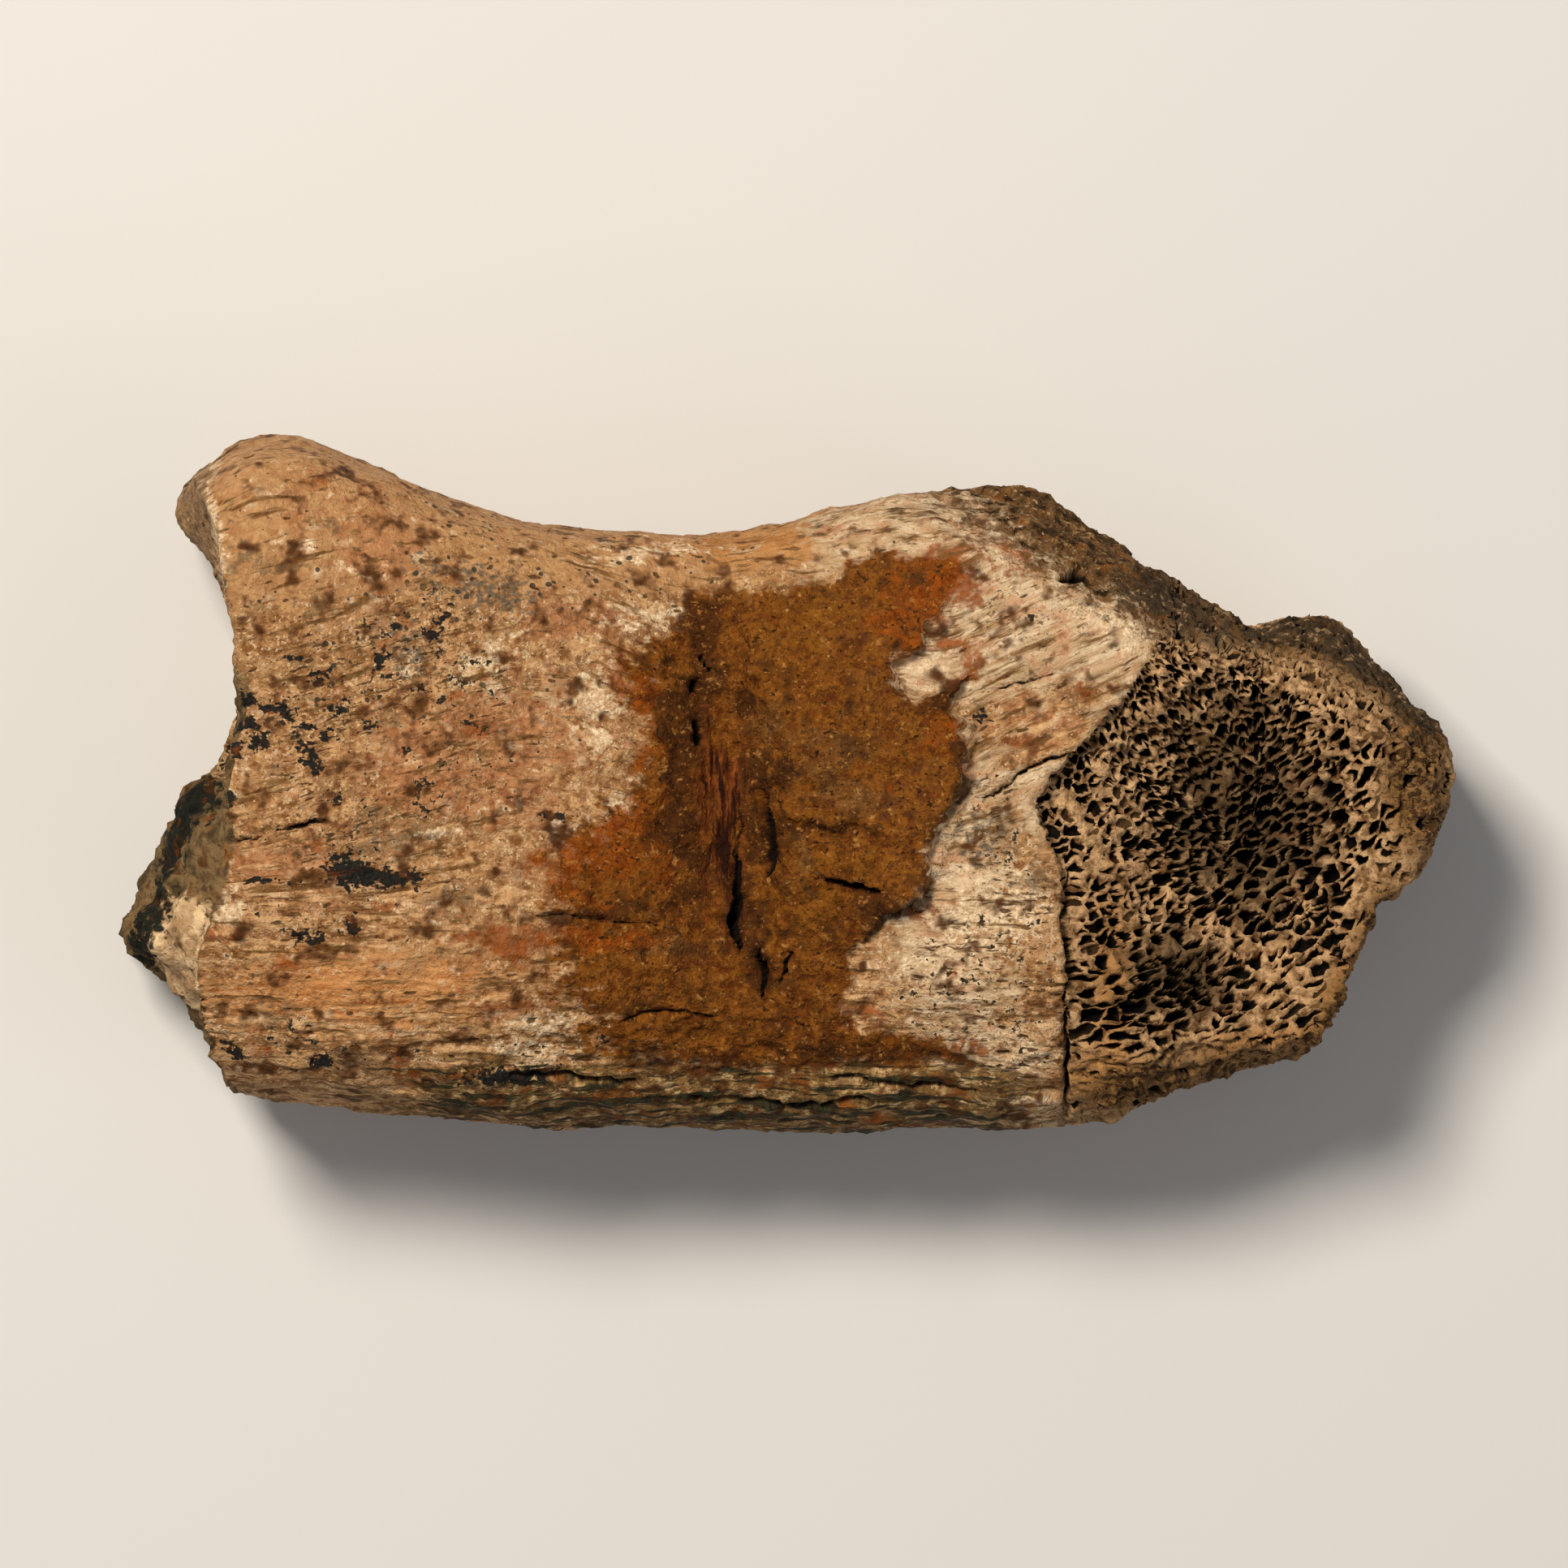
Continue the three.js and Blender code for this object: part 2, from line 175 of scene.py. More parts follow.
def smoothstep(value, low, high):
    t = np.clip((value - low) / (high - low), 0, 1)
    return t * t * (3 - 2 * t)


def lerp(a, b, share):
    return a + (b - a) * share


print("lower edge in mm:", along(BOTTOM_EDGE, np.linspace(0, 1, 3)).round(1).tolist())

# %% [markdown]
# ## A dense, closed skin
# The skin could be a subdivided cube, but then its squares would all be alike. This one is a box whose lines
# are given: they are closer together at the spongy end, where the detail is finest. Every face of the box
# shares its border points with its neighbours, so the skin is closed from the start.

# %% Lines of the box
HALF_LENGTH, WIDTH, THICKNESS = 50, 48, 30       # mm
FINER_FROM = 0.35                                # share of the half length where the finer lines begin
SPACING = {"compact": 0.3, "spongy": 0.2, "across": 0.2, "up": 0.4}   # mm between lines
lines_u = np.concatenate([
    np.arange(-1, FINER_FROM, SPACING["compact"] / HALF_LENGTH),
    np.arange(FINER_FROM, 1, SPACING["spongy"] / HALF_LENGTH), [1.0],
])
lines_v = np.linspace(-1, 1, round(WIDTH / SPACING["across"]) + 1)
lines_w = np.linspace(-1, 1, round(THICKNESS / SPACING["up"]) + 1)


def box_skin(lines):
    """Corner places and quads of a closed box with the given lines along its three directions."""
    counts = [len(line) for line in lines]
    strides = np.array([counts[1] * counts[2], counts[2], 1])
    quads = []
    for fixed in range(3):
        b, c = (fixed + 1) % 3, (fixed + 2) % 3
        for side in (0, counts[fixed] - 1):
            rows, columns = np.meshgrid(np.arange(counts[b]), np.arange(counts[c]), indexing="ij")
            number = side * strides[fixed] + rows * strides[b] + columns * strides[c]
            ring = [number[:-1, :-1], number[1:, :-1], number[1:, 1:], number[:-1, 1:]]
            ring = ring if side else ring[::-1]
            quads.append(np.stack([corner.ravel() for corner in ring], axis=1))
    used, quads = np.unique(np.concatenate(quads), return_inverse=True)
    places = [line[(used // stride) % count] for line, stride, count in zip(lines, strides, counts)]
    return np.stack(places, axis=1), quads.reshape(-1, 4)


box_points, quads = box_skin((lines_u, lines_v, lines_w))
print("skin:", len(box_points), "points,", len(quads), "quads")

# %% [markdown]
# ## From box to bone
# First the box's section becomes a soft, boxy round. Then a patch is stretched between the outline's four
# edges, so that a line along the box becomes a line along the bone. Two profiles give the height of the
# front and back faces: the bone is thick at both ends and arched between them, so it rests on two patches.
# The front half of the left end is dished a little, because a break is seldom flat.

# %% Round the box and stretch it over the outline
SECTION_POWER = 3.2                    # 2 rounds to a circle, higher numbers are boxier
LEFT_END_POWER, RIGHT_END_POWER = 22, 8
# z of the front and the back in mm, at even steps from the left end to the right
FRONT_HEIGHTS = [29.5, 30, 29.6, 28.4, 27, 26.2, 26.6, 27.6, 28.4, 27, 23]
BACK_HEIGHTS = [1, -0.7, -0.3, 1.4, 2.6, 3, 2.3, 0.6, -0.8, 0.4, 3.5]
LEFT_DISH = 2.6                        # mm


def boxy_length(a, b, power):
    return (np.abs(a) ** power + np.abs(b) ** power) ** (1 / power)


def round_off(a, b, power):
    reach = np.maximum(np.abs(a), np.abs(b))
    return np.where(reach > 0, reach / np.maximum(boxy_length(a, b, power), 1e-9), 1)


u, v, w = box_points.T
to_section = round_off(v, w, SECTION_POWER)
to_end = round_off(u, w * to_section, np.where(u < 0, LEFT_END_POWER, RIGHT_END_POWER))
u, v, w = u * to_end, v * to_section, w * to_section * to_end

s, t = (u + 1) / 2, (v + 1) / 2
to_front = smoothstep(w, 0.1, 0.62)[:, None]
left = lerp(along(LEFT_BACK_EDGE, t), along(LEFT_FRONT_EDGE, t), to_front)
corners = [BOTTOM_EDGE[0], BOTTOM_EDGE[-1], TOP_EDGE[0], TOP_EDGE[-1]]
shares = [(1 - s) * (1 - t), s * (1 - t), (1 - s) * t, s * t]
plan = (1 - s)[:, None] * left + s[:, None] * along(RIGHT_EDGE, t)
plan += (1 - t)[:, None] * along(BOTTOM_EDGE, s) + t[:, None] * along(TOP_EDGE, s)
plan -= sum(share[:, None] * np.array(corner) for share, corner in zip(shares, corners))
x, y = plan.T
inner = 1 - np.minimum(1, boxy_length(v, w, 4)) ** 3
at_left, near_front, below_lobe = smoothstep(-u, 0.9, 1), smoothstep(w, -0.4, 0.3), 1 - smoothstep(y, 4, 12)
dished_x = x + LEFT_DISH * inner * at_left * near_front * below_lobe
print("outline spans, mm:", x.min().round(1), x.max().round(1), y.min().round(1), y.max().round(1))

# %% [markdown]
# ## The big forms of the front face
# These are the forms that a hand would feel: gentle swells, the worn slope of the shoulder, the hollow across
# the middle, the crust that stands 1.2 mm proud beside it, and the break that steps down to the spongy bowl.
# Three measures describe them all. A patch is a soft oval, given by its centre, its two radii and its turn.
# The distance to a line makes a crack, and the distance to a closed outline makes a ledge as sharp as the
# real one.

# %% Patches, lines and polygons
def patch(x, y, at, radii, turn=0):
    """1 at the middle of a soft oval, falling to nearly 0 at twice its radii. turn is in degrees."""
    c, s = np.cos(np.radians(turn)), np.sin(np.radians(turn))
    dx, dy = x - at[0], y - at[1]
    return np.exp(-((c * dx + s * dy) / radii[0]) ** 2 - ((c * dy - s * dx) / radii[1]) ** 2)


def nearest_on_segment(x, y, a, b):
    """The share of the way from a to b where the segment is nearest to (x, y), and how far away it is."""
    (ax, ay), (bx, by) = a, b
    dx, dy = bx - ax, by - ay
    share = np.clip(((x - ax) * dx + (y - ay) * dy) / (dx * dx + dy * dy), 0, 1)
    return share, np.hypot(x - ax - share * dx, y - ay - share * dy)


def line_distance(x, y, points):
    """Distance from (x, y) to a line through the given points."""
    nearest = np.full(len(x), 1e9)
    for a, b in zip(points, points[1:]):
        nearest = np.minimum(nearest, nearest_on_segment(x, y, a, b)[1])
    return nearest


def inside_distance(x, y, outline):
    """Distance to a closed outline, positive inside it and negative outside."""
    closed = outline + outline[:1]
    inside = np.zeros(len(x), bool)
    for (ax, ay), (bx, by) in zip(closed, closed[1:]):
        crosses = (ay > y) != (by > y)
        inside ^= crosses & (x < ax + (y - ay) / ((by - ay) or 1e-9) * (bx - ax))
    return line_distance(x, y, closed) * np.where(inside, 1, -1)


print("a patch at its middle, one and two radii out:", patch(np.arange(3), 0, (0, 0), (1, 1)).round(2))

# %% [markdown]
# The forms themselves are short lists in millimetres: the outlines of the crust, of the soil and of two
# thicker sheets in the crust, the x of two edges at even steps up the bone, and a few swells.

# %% Lists of the forms
CRUST_OUTLINE = [
    (-7.9, 11.8), (-7.3, 13.9), (-5.8, 14.8), (-2.2, 14.2), (2.3, 15.2), (4.1, 16.3), (7.1, 17.8),
    (10.4, 16.9), (12.5, 16.3), (12.5, 13.3), (9.8, 10), (8, 8.5), (8.6, 7.3), (11, 6.7), (14, 8.5),
    (12.8, 5.8), (13.1, 3.4), (13.9, 0.1), (13.4, -0.8), (12.2, -1.7), (11, -5.6), (10.4, -6.8),
    (10.7, -8.3), (8.6, -9.2), (5.6, -12.2), (5, -13.7), (5.3, -15.2), (4.4, -17), (5.6, -17.9),
    (9.5, -18.2), (12.5, -19.4), (13.5, -20.6), (10, -21.2), (4, -20.8), (-2, -21.4), (-8, -20.9),
    (-13.6, -20.2), (-16.6, -18.2), (-14.8, -16.4), (-19.6, -14.6), (-22.6, -13.4), (-23.8, -11.6),
    (-22, -9.8), (-19, -8), (-19.3, -6.2), (-16, -3.5), (-12.4, -0.8), (-10.6, 2.2), (-11.2, 5.2),
    (-12.8, 7.4), (-12.4, 10), (-10.6, 11.2),
]
SOIL_OUTLINE = [
    (7, 24), (13.1, 19.9), (16.4, 18.4), (16.9, 16.9), (19.9, 15.8), (22, 13.9), (25, 13.1), (28, 11),
    (34, 9), (40, 20), (20, 30),
]
UPPER_PLATE = [
    (-1, 3), (-1.4, 0), (-0.1, -2.3), (3.5, -3.2), (7.2, -3.7), (10, -5.3), (11.8, -7.3), (13, -2), (14, 4),
    (8, 8), (2, 8),
]
LOWER_PLATE = [
    (-0.4, -3), (-0.3, -7), (1.6, -8.6), (3.4, -7.1), (6.9, -8.2), (7.2, -9.4), (9.8, -8.4), (11.6, -6.8),
    (9, -3), (3, -2),
]
PLATES = [(UPPER_PLATE, 0.5), (LOWER_PLATE, 0.55)]     # thicker sheets in the crust, and their rise in mm
CRUST_LEFT_X = [-3, -1.6, -0.9, -1.2, -0.8, -2.6, -3.4, -3]      # x of its left ledge, from y = -15 to 15
FRACTURE_X = [20.6, 20.6, 20.7, 20.4, 20, 18.6, 22.8, 26.6, 28.4]    # x of the fracture, y = -26 to 14
SWELLS = [                             # place, radii and rise in mm
    ((-39, 20), (7, 6), 0.8), ((-20, -12), (16, 5), 0.7), ((-26, 6), (12, 6), -0.8),
    ((14, -14), (7, 6), 0.7), ((2, -20), (22, 2.2), -0.7), ((43, 2), (5, 8), 1.6),
]

CRUST_RISE, FRACTURE_STEP = 1.2, 1.4                       # mm
HOLLOW_DEPTH, SLOPE_DEPTH, BOWL_DEPTH = 2.6, 6.5, 6.2      # mm
print("points round the crust:", len(CRUST_OUTLINE), "swells:", len(SWELLS))

# %% [markdown]
# Now the height of every point is worked out. The two profiles are where it starts, the forms are added on
# the front alone, and past the fracture the surface drops to the floor of the break. Sine waves bend the
# crust's border a little, because nothing in nature ends in straight lines.

# %% Heights of the front and the back
bent_x = x + 0.22 * np.sin(1.1 * y + 0.5) + 0.16 * np.sin(2.3 * y) + 0.1 * np.sin(5.1 * y + x)
bent_y = y + 0.2 * np.sin(0.9 * x) + 0.14 * np.sin(2.1 * x + 1) + 0.1 * np.sin(4.7 * x + y)
crust = inside_distance(bent_x, bent_y, CRUST_OUTLINE)
past_fracture = x - profile(FRACTURE_X, -26, 14, y)

swells = sum(rise * patch(x, y, at, radii) for at, radii, rise in SWELLS)
hollow = -HOLLOW_DEPTH * patch(x, y, (-4.6, 0), (3.6, 14.5), 7.5)
past_shoulder = np.maximum(0, (x - 9) * 0.414 + (y - 19.4) * 0.91)
slope = -np.minimum(SLOPE_DEPTH, 0.85 * past_shoulder) * smoothstep(x, 6, 14)
ledge = smoothstep(crust, 0, 0.5) * smoothstep(bent_x - profile(CRUST_LEFT_X, -15, 15, y), 0, 1.4)
ledge *= smoothstep(y, -16, -7) * (1 - smoothstep(y, 8, 16))
on_plates = [smoothstep(inside_distance(bent_x, bent_y, outline), -0.1, 0.25) for outline, rise in PLATES]
plates = sum(rise * on_plate for on_plate, (outline, rise) in zip(on_plates, PLATES))
bowl = patch(x, y, (34, -5.5), (9.5, 13), 11.5) * smoothstep(past_fracture, -1, 7)
front = profile(FRONT_HEIGHTS, -HALF_LENGTH, HALF_LENGTH, x)
back = profile(BACK_HEIGHTS, -HALF_LENGTH, HALF_LENGTH, x)

features = (swells + hollow + slope + CRUST_RISE * ledge + plates) * smoothstep(w, 0, 0.7)
z = np.where(w > 0, EQUATOR + w * (front - EQUATOR) + features, EQUATOR + w * (EQUATOR - back))
step_down = FRACTURE_STEP * smoothstep(past_fracture, 0, 0.35)
break_floor = front + swells + slope - step_down - BOWL_DEPTH * bowl
z = np.where((w > 0) & (past_fracture > 0), np.minimum(z, break_floor), z)
points = np.stack([dished_x, y, z], axis=1)
print("height, mm:", z.min().round(1), "to", z.max().round(1))

# %% [markdown]
# ## Four sets of directions
# A texture needs to know which way the bone grew. Each point of the skin keeps four sets of coordinates, in
# millimetres: its own place; the grain, which follows the fibres of the hard outer bone and climbs to the
# right where they do; the flow of the spongy bone, whose struts fan out around a point on its upper left;
# and the grain stretched once more, for thin sheets. Measured round its centre, the fan becomes straight,
# and stretched pores turn with it. In the left break the pores are simply drawn out across the bone, and in
# the hollow the fibres stand upright.

# %% Place, grain and flow
FAN_CENTRE, FAN_RADIUS = (20, 16), 26

left_climb = 0.26 * (x + 30) * smoothstep(y, -11, -3) * (1 - smoothstep(x, -22, -8))
right_climb = 0.42 * (x - 12) * smoothstep(y, -7, 2) * smoothstep(x, 8, 16)
grain = np.stack([x, y - (left_climb + right_climb) * smoothstep(w, 0, 0.3), z], axis=1)

UPRIGHT_CENTRE, UPRIGHT_RADII = (-4.6, -3.6), (2.4, 8.4)
upright = patch(x, y, UPRIGHT_CENTRE, UPRIGHT_RADII, 3) > 0.3
grain[upright] = np.stack([y, -x, z], axis=1)[upright]

reach = np.hypot(x - FAN_CENTRE[0], y - FAN_CENTRE[1])
turned = np.arctan2(x - FAN_CENTRE[0], FAN_CENTRE[1] - y)
fan = np.stack([turned * FAN_RADIUS, reach, z], axis=1)
flow = np.where(x[:, None] < 0, np.stack([y, x, z], axis=1), fan)
layered = grain * [0.35, 1.2, 1.2]        # noise drawn out along the sheets of bone
print("struts fan over", round(float(np.degrees(turned[x > 22].max()))), "degrees")

# %% [markdown]
# ## Maps of what happened where
# Time painted the bone in patches. Black manganese gathered along the left rim, iron stained the bone red and
# orange around the crust, and some flakes of the surface stayed cream. Each map is a list of soft ovals:
# x, y, the radius along, the radius across and, if the oval is turned, the turn in degrees. The material
# gives them ragged edges later, so a map only says roughly where a thing is. Another way is to paint vertex
# colours by hand, but a list can be read.

# %% Spots and flakes on the front face
FRONT_MAPS = {
    "manganese": [
        (-32.2, -6.2, 1.7, 1.3), (-30.4, -6.8, 2, 0.8), (-27.6, -6.9, 1.6, 0.6, 8), (-31.6, -10.4, 0.6, 1),
        (-38.5, -7.1, 1.2, 0.4), (-36, -7.4, 0.8, 0.3), (-35.6, -11.2, 0.9, 0.6, 20), (-39.4, 4.4, 1, 0.7),
        (-36.5, 5.3, 0.7, 1, 20), (-38.4, 3.1, 0.7, 0.7), (-40.3, 2.5, 0.6, 0.9), (-38, 5.6, 0.8, 0.35),
        (-32.6, 5.5, 1, 0.6, 30), (-33.5, 3.6, 0.9, 0.45, 30), (-35.4, 2.8, 0.6, 0.4), (-35, 4.1, 0.6, 0.3),
        (-34.6, 1.5, 0.8, 1.2), (-34.2, 7.7, 0.6, 0.8), (-36.5, 9.2, 1.6, 0.25), (-39.4, 6.2, 0.7, 0.6),
        (-29.5, 9.1, 0.7, 1.2), (-28.6, 11.5, 0.5, 0.5), (-25, 12.2, 0.7, 0.6), (-26.8, 7, 1, 0.4, -30),
        (-40.6, -1.1, 0.6, 0.8), (-33, -1.1, 0.6, 0.7), (-30.4, 4.2, 0.6, 0.5), (-27.6, 2.4, 0.4, 0.6),
        (-40.6, -19.9, 1.4, 0.7, -25), (-34, -11.4, 1.2, 0.4, 20), (-20.2, -21.5, 4.5, 0.8),
        (-12, -18.6, 2, 0.8, 10), (14.3, 5, 0.7, 0.6), (-14.4, -11.4, 1, 0.8), (-34, -20.6, 1.2, 0.8),
        (-9, 3, 0.6, 0.6), (-17, -2.4, 1.4, 0.4), (-26, 11, 0.8, 0.5), (-24, 9, 0.4, 0.4),
    ],
    "dashes": [
        (-33, -4, 8, 3.4, 12), (-36, 4, 6, 6), (-31, 8, 6, 4), (-22, 6, 5, 4), (-26, 14, 4, 2, -15),
        (15, 0, 3, 3), (-25, -8, 7, 2), (-37, -10, 5, 2), (-37, -18, 4, 2.4), (-27, 10, 5, 4, -20),
        (-24, 0, 5, 3, 20), (-12, -15.6, 8, 2), (12, -17, 6, 4), (-30, -20, 8, 1.4), (-17, -19.6, 6, 2.4),
        (20, -19, 5, 5), (15, -5, 2, 3), (13, -13, 5, 5), (18, -9, 3, 6), (17, 12, 7, 4),
    ],
    "slate": [
        (-24.4, 15.4, 4.4, 1.7, -14), (-20.6, 13.8, 3, 1.4, -14), (-27.6, 9.6, 2, 2.6),
        (14.6, -4, 2.4, 2.2, 20),
    ],
    "dusk": [
        (-37.4, 0.4, 1, 1.1), (-28.8, 4.6, 1, 0.9), (-30.1, -2, 1.6, 0.6, 15), (-31.6, -20.6, 2, 1),
        (-35, 9, 1, 1), (-38.5, 12.4, 1.2, 0.9), (-34, 13, 1.6, 1.2), (-29, -4, 6, 1.6, 12),
        (14.4, 5.4, 1, 0.9), (-9.5, 1.6, 1.6, 2), (-24, -8.4, 4, 0.9, 10), (-37, 16, 3, 1),
        (15, -3.6, 2.4, 2, 20), (-38, -17, 3, 2), (-33.4, 19, 1.6, 0.8), (-40, 17, 1.2, 1.6),
        (18, -7, 2, 1.6),
    ],
    "cream": [
        (-17.2, -17.6, 2.8, 1.2), (-10.3, -15.5, 2.6, 0.5), (-19.4, -19.6, 2.4, 0.8),
        (-33.2, 16.4, 2.2, 0.5, -18), (-35.4, 17.6, 1.8, 0.35), (-31, 15.4, 1, 0.3),
        (-16.6, -3.2, 0.7, 0.6), (-15.4, -11, 0.9, 0.5), (-41.5, -1.2, 1.3, 2), (-41.4, -2.6, 0.8, 1),
        (-12.6, -1.6, 1.6, 1, 30), (-10.3, 10.4, 0.6, 0.5), (-21.4, 7, 0.7, 0.5), (-9.5, 12.5, 4, 0.8, 10),
        (-14, 6.4, 2.2, 2.4), (11, 8.6, 1.4, 0.7), (-41.4, 14, 0.5, 5), (-41.2, -8.6, 1.7, 1.8),
        (-40.4, -9.4, 1, 0.8), (-22, 9, 3, 1.4, 30), (-26, -3.6, 2, 0.5, 10), (-18, -20, 2, 0.7),
        (16.4, 15.6, 1.6, 1.4), (-10, 17, 5, 0.6, 5), (11, -13.4, 3.6, 3), (17, -8.4, 3, 3),
        (14.4, -9.4, 3, 2.6), (24, 11.8, 4, 1.6, -25), (-27.4, 8.6, 1, 1), (13, -20, 1.6, 1.2),
        (18, -20, 3, 2.6), (17, -24, 4, 1.4), (-20, -1.4, 2, 0.4, 14), (-13.4, 3, 0.8, 1),
        (-11.4, 12.6, 1.2, 0.8),
    ],
    "rust": [
        (12.6, 16.6, 2.2, 1.8), (13.6, 13.8, 1.8, 1.4), (12.2, 10.2, 2.4, 1, -10),
        (22.1, 6.7, 1.3, 0.9, 20), (5.6, -17, 1.8, 0.8), (16.6, 3.1, 3.4, 0.3, -4),
        (-28.3, -20.3, 0.7, 2.4, 5), (-27.2, -22, 1.4, 0.8), (13.4, 8, 1.8, 0.8, 30),
        (-42.4, -11, 0.9, 0.8, 20), (-22.5, 4, 1.6, 0.8, 20), (-34, -4.6, 1.6, 0.4), (9, -9.6, 3.4, 0.6, 5),
        (-30, -9, 3, 0.4), (-13, 12.5, 1.2, 0.7), (-26, 0, 2, 0.5, 25), (-39.6, -11.2, 1.6, 0.3, 8),
        (-36, -13.4, 4, 0.3), (14, -19.4, 2, 0.8), (-20, -16.2, 4, 0.5), (17.4, 16.6, 1.4, 1.4),
        (-30, -16, 2, 0.3), (-23, -11, 3, 0.5, 8), (-24.4, 6.4, 1, 0.4, 20),
    ],
    "pink": [
        (-20, 3.4, 6, 4), (-26, 2, 5, 3, 20), (18, 4.6, 5, 2.4, -10), (-31, 18, 6, 3, -20), (-16, 12, 4, 2),
        (-38, -6, 5, 3), (-30, -14.4, 8, 1.6), (-22, -1, 5, 2),
    ],
    "speckle": [(-24, 14.6, 7, 3.6, -15), (-32, 6, 12, 8), (-20, 18, 10, 3, -15), (-12, 15, 8, 3)],
}
print("ovals for spots and flakes:", sum(len(patches) for patches in FRONT_MAPS.values()))

# %% [markdown]
# The other lists say where the surface is worn smooth, which tones the crust has and where it gets painted
# shade, where the walls of the deep crack and the jagged lower edge are, and how the rim round the spongy end
# is coloured, with painted shade on its upper part.

# %% Wear, the crust's tones and the rim
FRONT_MAPS |= {
    "smooth": [(-38, 20, 8, 7), (-28, 20, 10, 4, -20), (-14, 17, 14, 2.5), (-30, -14, 8, 2, 4)],
    "ochre": [(2.4, 11.6, 5, 3.6, 10), (5.4, -5.4, 5, 2.2), (9, 2, 3, 3), (-4, 14, 2, 1), (2, -10, 2, 2)],
    "grey_crust": [
        (2.4, 1.6, 3.4, 3), (-1.6, 4.6, 1.4, 2.2), (5.6, -1.4, 2.6, 1.4), (-9, -12, 2, 0.8),
        (1.2, -5.6, 1, 2),
    ],
    # dark umber on the crust, partly painted shade: the hollow's left side, beside slits and under ledges
    "umber_and_shade": [
        (-5.6, 12.9, 2.4, 1.8), (-6, 9.6, 1.5, 2.4), (-7.6, 6, 1.6, 1.4), (-3.4, 5.6, 1.4, 1.2),
        (-6.5, 6.4, 1.3, 1.4), (-6.5, 3.6, 1, 1.6), (-8.2, -1, 1, 5), (-2.4, -3.2, 0.8, 3.4, 5),
        (-2, 0.6, 1, 1), (4, -3.4, 4, 0.5, -8), (12.8, 0.4, 0.7, 3.6, 10), (7.6, -9.2, 3.4, 0.9, 8),
        (-2, -13, 1, 3.4, 10), (-1, 1, 3, 1.4), (6, -20, 8, 1), (-17, -4, 2, 0.8, 10),
        (-14, -9.6, 5, 0.5, 4), (12, 7.2, 0.8, 2, -20), (-8, -21, 6, 1), (-3.6, -9, 0.9, 3),
        (-1, -5, 0.9, 2.6, 5), (-6.4, -6, 0.8, 4),
    ],
    "burnt": [
        (-15, -6, 5, 3, 10), (-13, 8, 2, 3.4), (9.4, 13.6, 3, 3), (11.6, 3.6, 1.6, 3.4),
        (-20, -5.4, 3, 1, 12), (-14, -11.6, 6, 1.2), (13, -19, 4, 2), (-11.6, 12.4, 2, 1),
        (-21, -11.4, 3, 1.4), (12, 16, 3, 3), (-10.6, 4, 1.4, 4), (-10.6, -4, 2, 3), (9.6, 11, 3, 2),
    ],
    "slit_wall": [(-4.9, -3.6, 1.7, 7.4, 3), (-4.6, -1, 1.4, 3)],
    "jagged": [(31, -21.6, 9, 2, 8), (40.6, -17, 2, 4, -25), (22, -24, 4, 1.4)],
    "rim": [
        (47, -2, 2.4, 5, 20), (47.4, 4, 2.4, 4, -20), (42, 10, 5, 2.4, -30), (36, 11.6, 3, 1.6),
        (40.4, -17, 1.4, 4, -25), (33, -20.6, 7, 1.2, 5), (25.6, -22.4, 4, 1.6, 10),
        (43.6, -9.6, 1.2, 3, -25),
    ],
    # the upper right rim: darker, partly painted shade where it turns from the light
    "dark_rim": [
        (36.5, 12, 3, 1.6), (42.6, 9.6, 4.6, 1.8, -36), (47, 5.4, 2.4, 1.6, -50), (29, 13, 5, 2, -25),
    ],
    "amber": [
        (45.4, -1.6, 1.4, 2.4, 20), (41, -15, 1.6, 4, -25), (34, -19, 6, 1, 6), (24, -14, 2, 8),
        (22, -22, 4, 2),
    ],
}
print("ovals on the front:", sum(len(patches) for patches in FRONT_MAPS.values()))

# %% [markdown]
# The back lay in the ground longest, so it gets fewer and broader patches. Patches made only from x and y
# would go right through the bone and show again on the back, which is why each list belongs to one face.

# %% Patches on the back face
BACK_MAPS = {
    "manganese": [
        (-26, 8, 3, 1.4, 20), (12, -9, 4, 1.2, -10), (30, -4, 2, 2), (-8, 12, 3, 1), (-34, -8, 2, 1, 40),
    ],
    "dashes": [(-20, 0, 14, 8), (20, 4, 12, 10)],
    "slate": [(2, 6, 6, 3, 10)],
    "dusk": [(-10, -6, 10, 3, 5), (22, 0, 6, 4), (-32, 14, 4, 3), (4, 12, 8, 2)],
    "cream": [(-20, -12, 8, 2), (8, 2, 7, 2.4, 8), (26, -12, 5, 2), (-38, 4, 3, 4)],
    "rust": [(-4, -16, 8, 2), (18, 12, 4, 2), (-28, -2, 3, 2)],
    "pink": [(-14, 4, 10, 5), (16, -14, 8, 4)],
    "speckle": [(-20, 6, 14, 8), (20, 4, 10, 10)],
    "smooth": [(-4, 0, 20, 10)],
    "rim": [(46, 0, 4, 12)],
}

front_share = smoothstep(w, -0.1, 0.3)
maps = {}


def sum_of_patches(patches):
    return sum(patch(x, y, (px, py), (rx, ry), *turn) for px, py, rx, ry, *turn in patches)


for name, patches in FRONT_MAPS.items():
    on_front, on_back = sum_of_patches(patches), sum_of_patches(BACK_MAPS.get(name, []))
    maps[name] = np.minimum(lerp(on_back, on_front, front_share), 1)
print("maps:", ", ".join(maps))
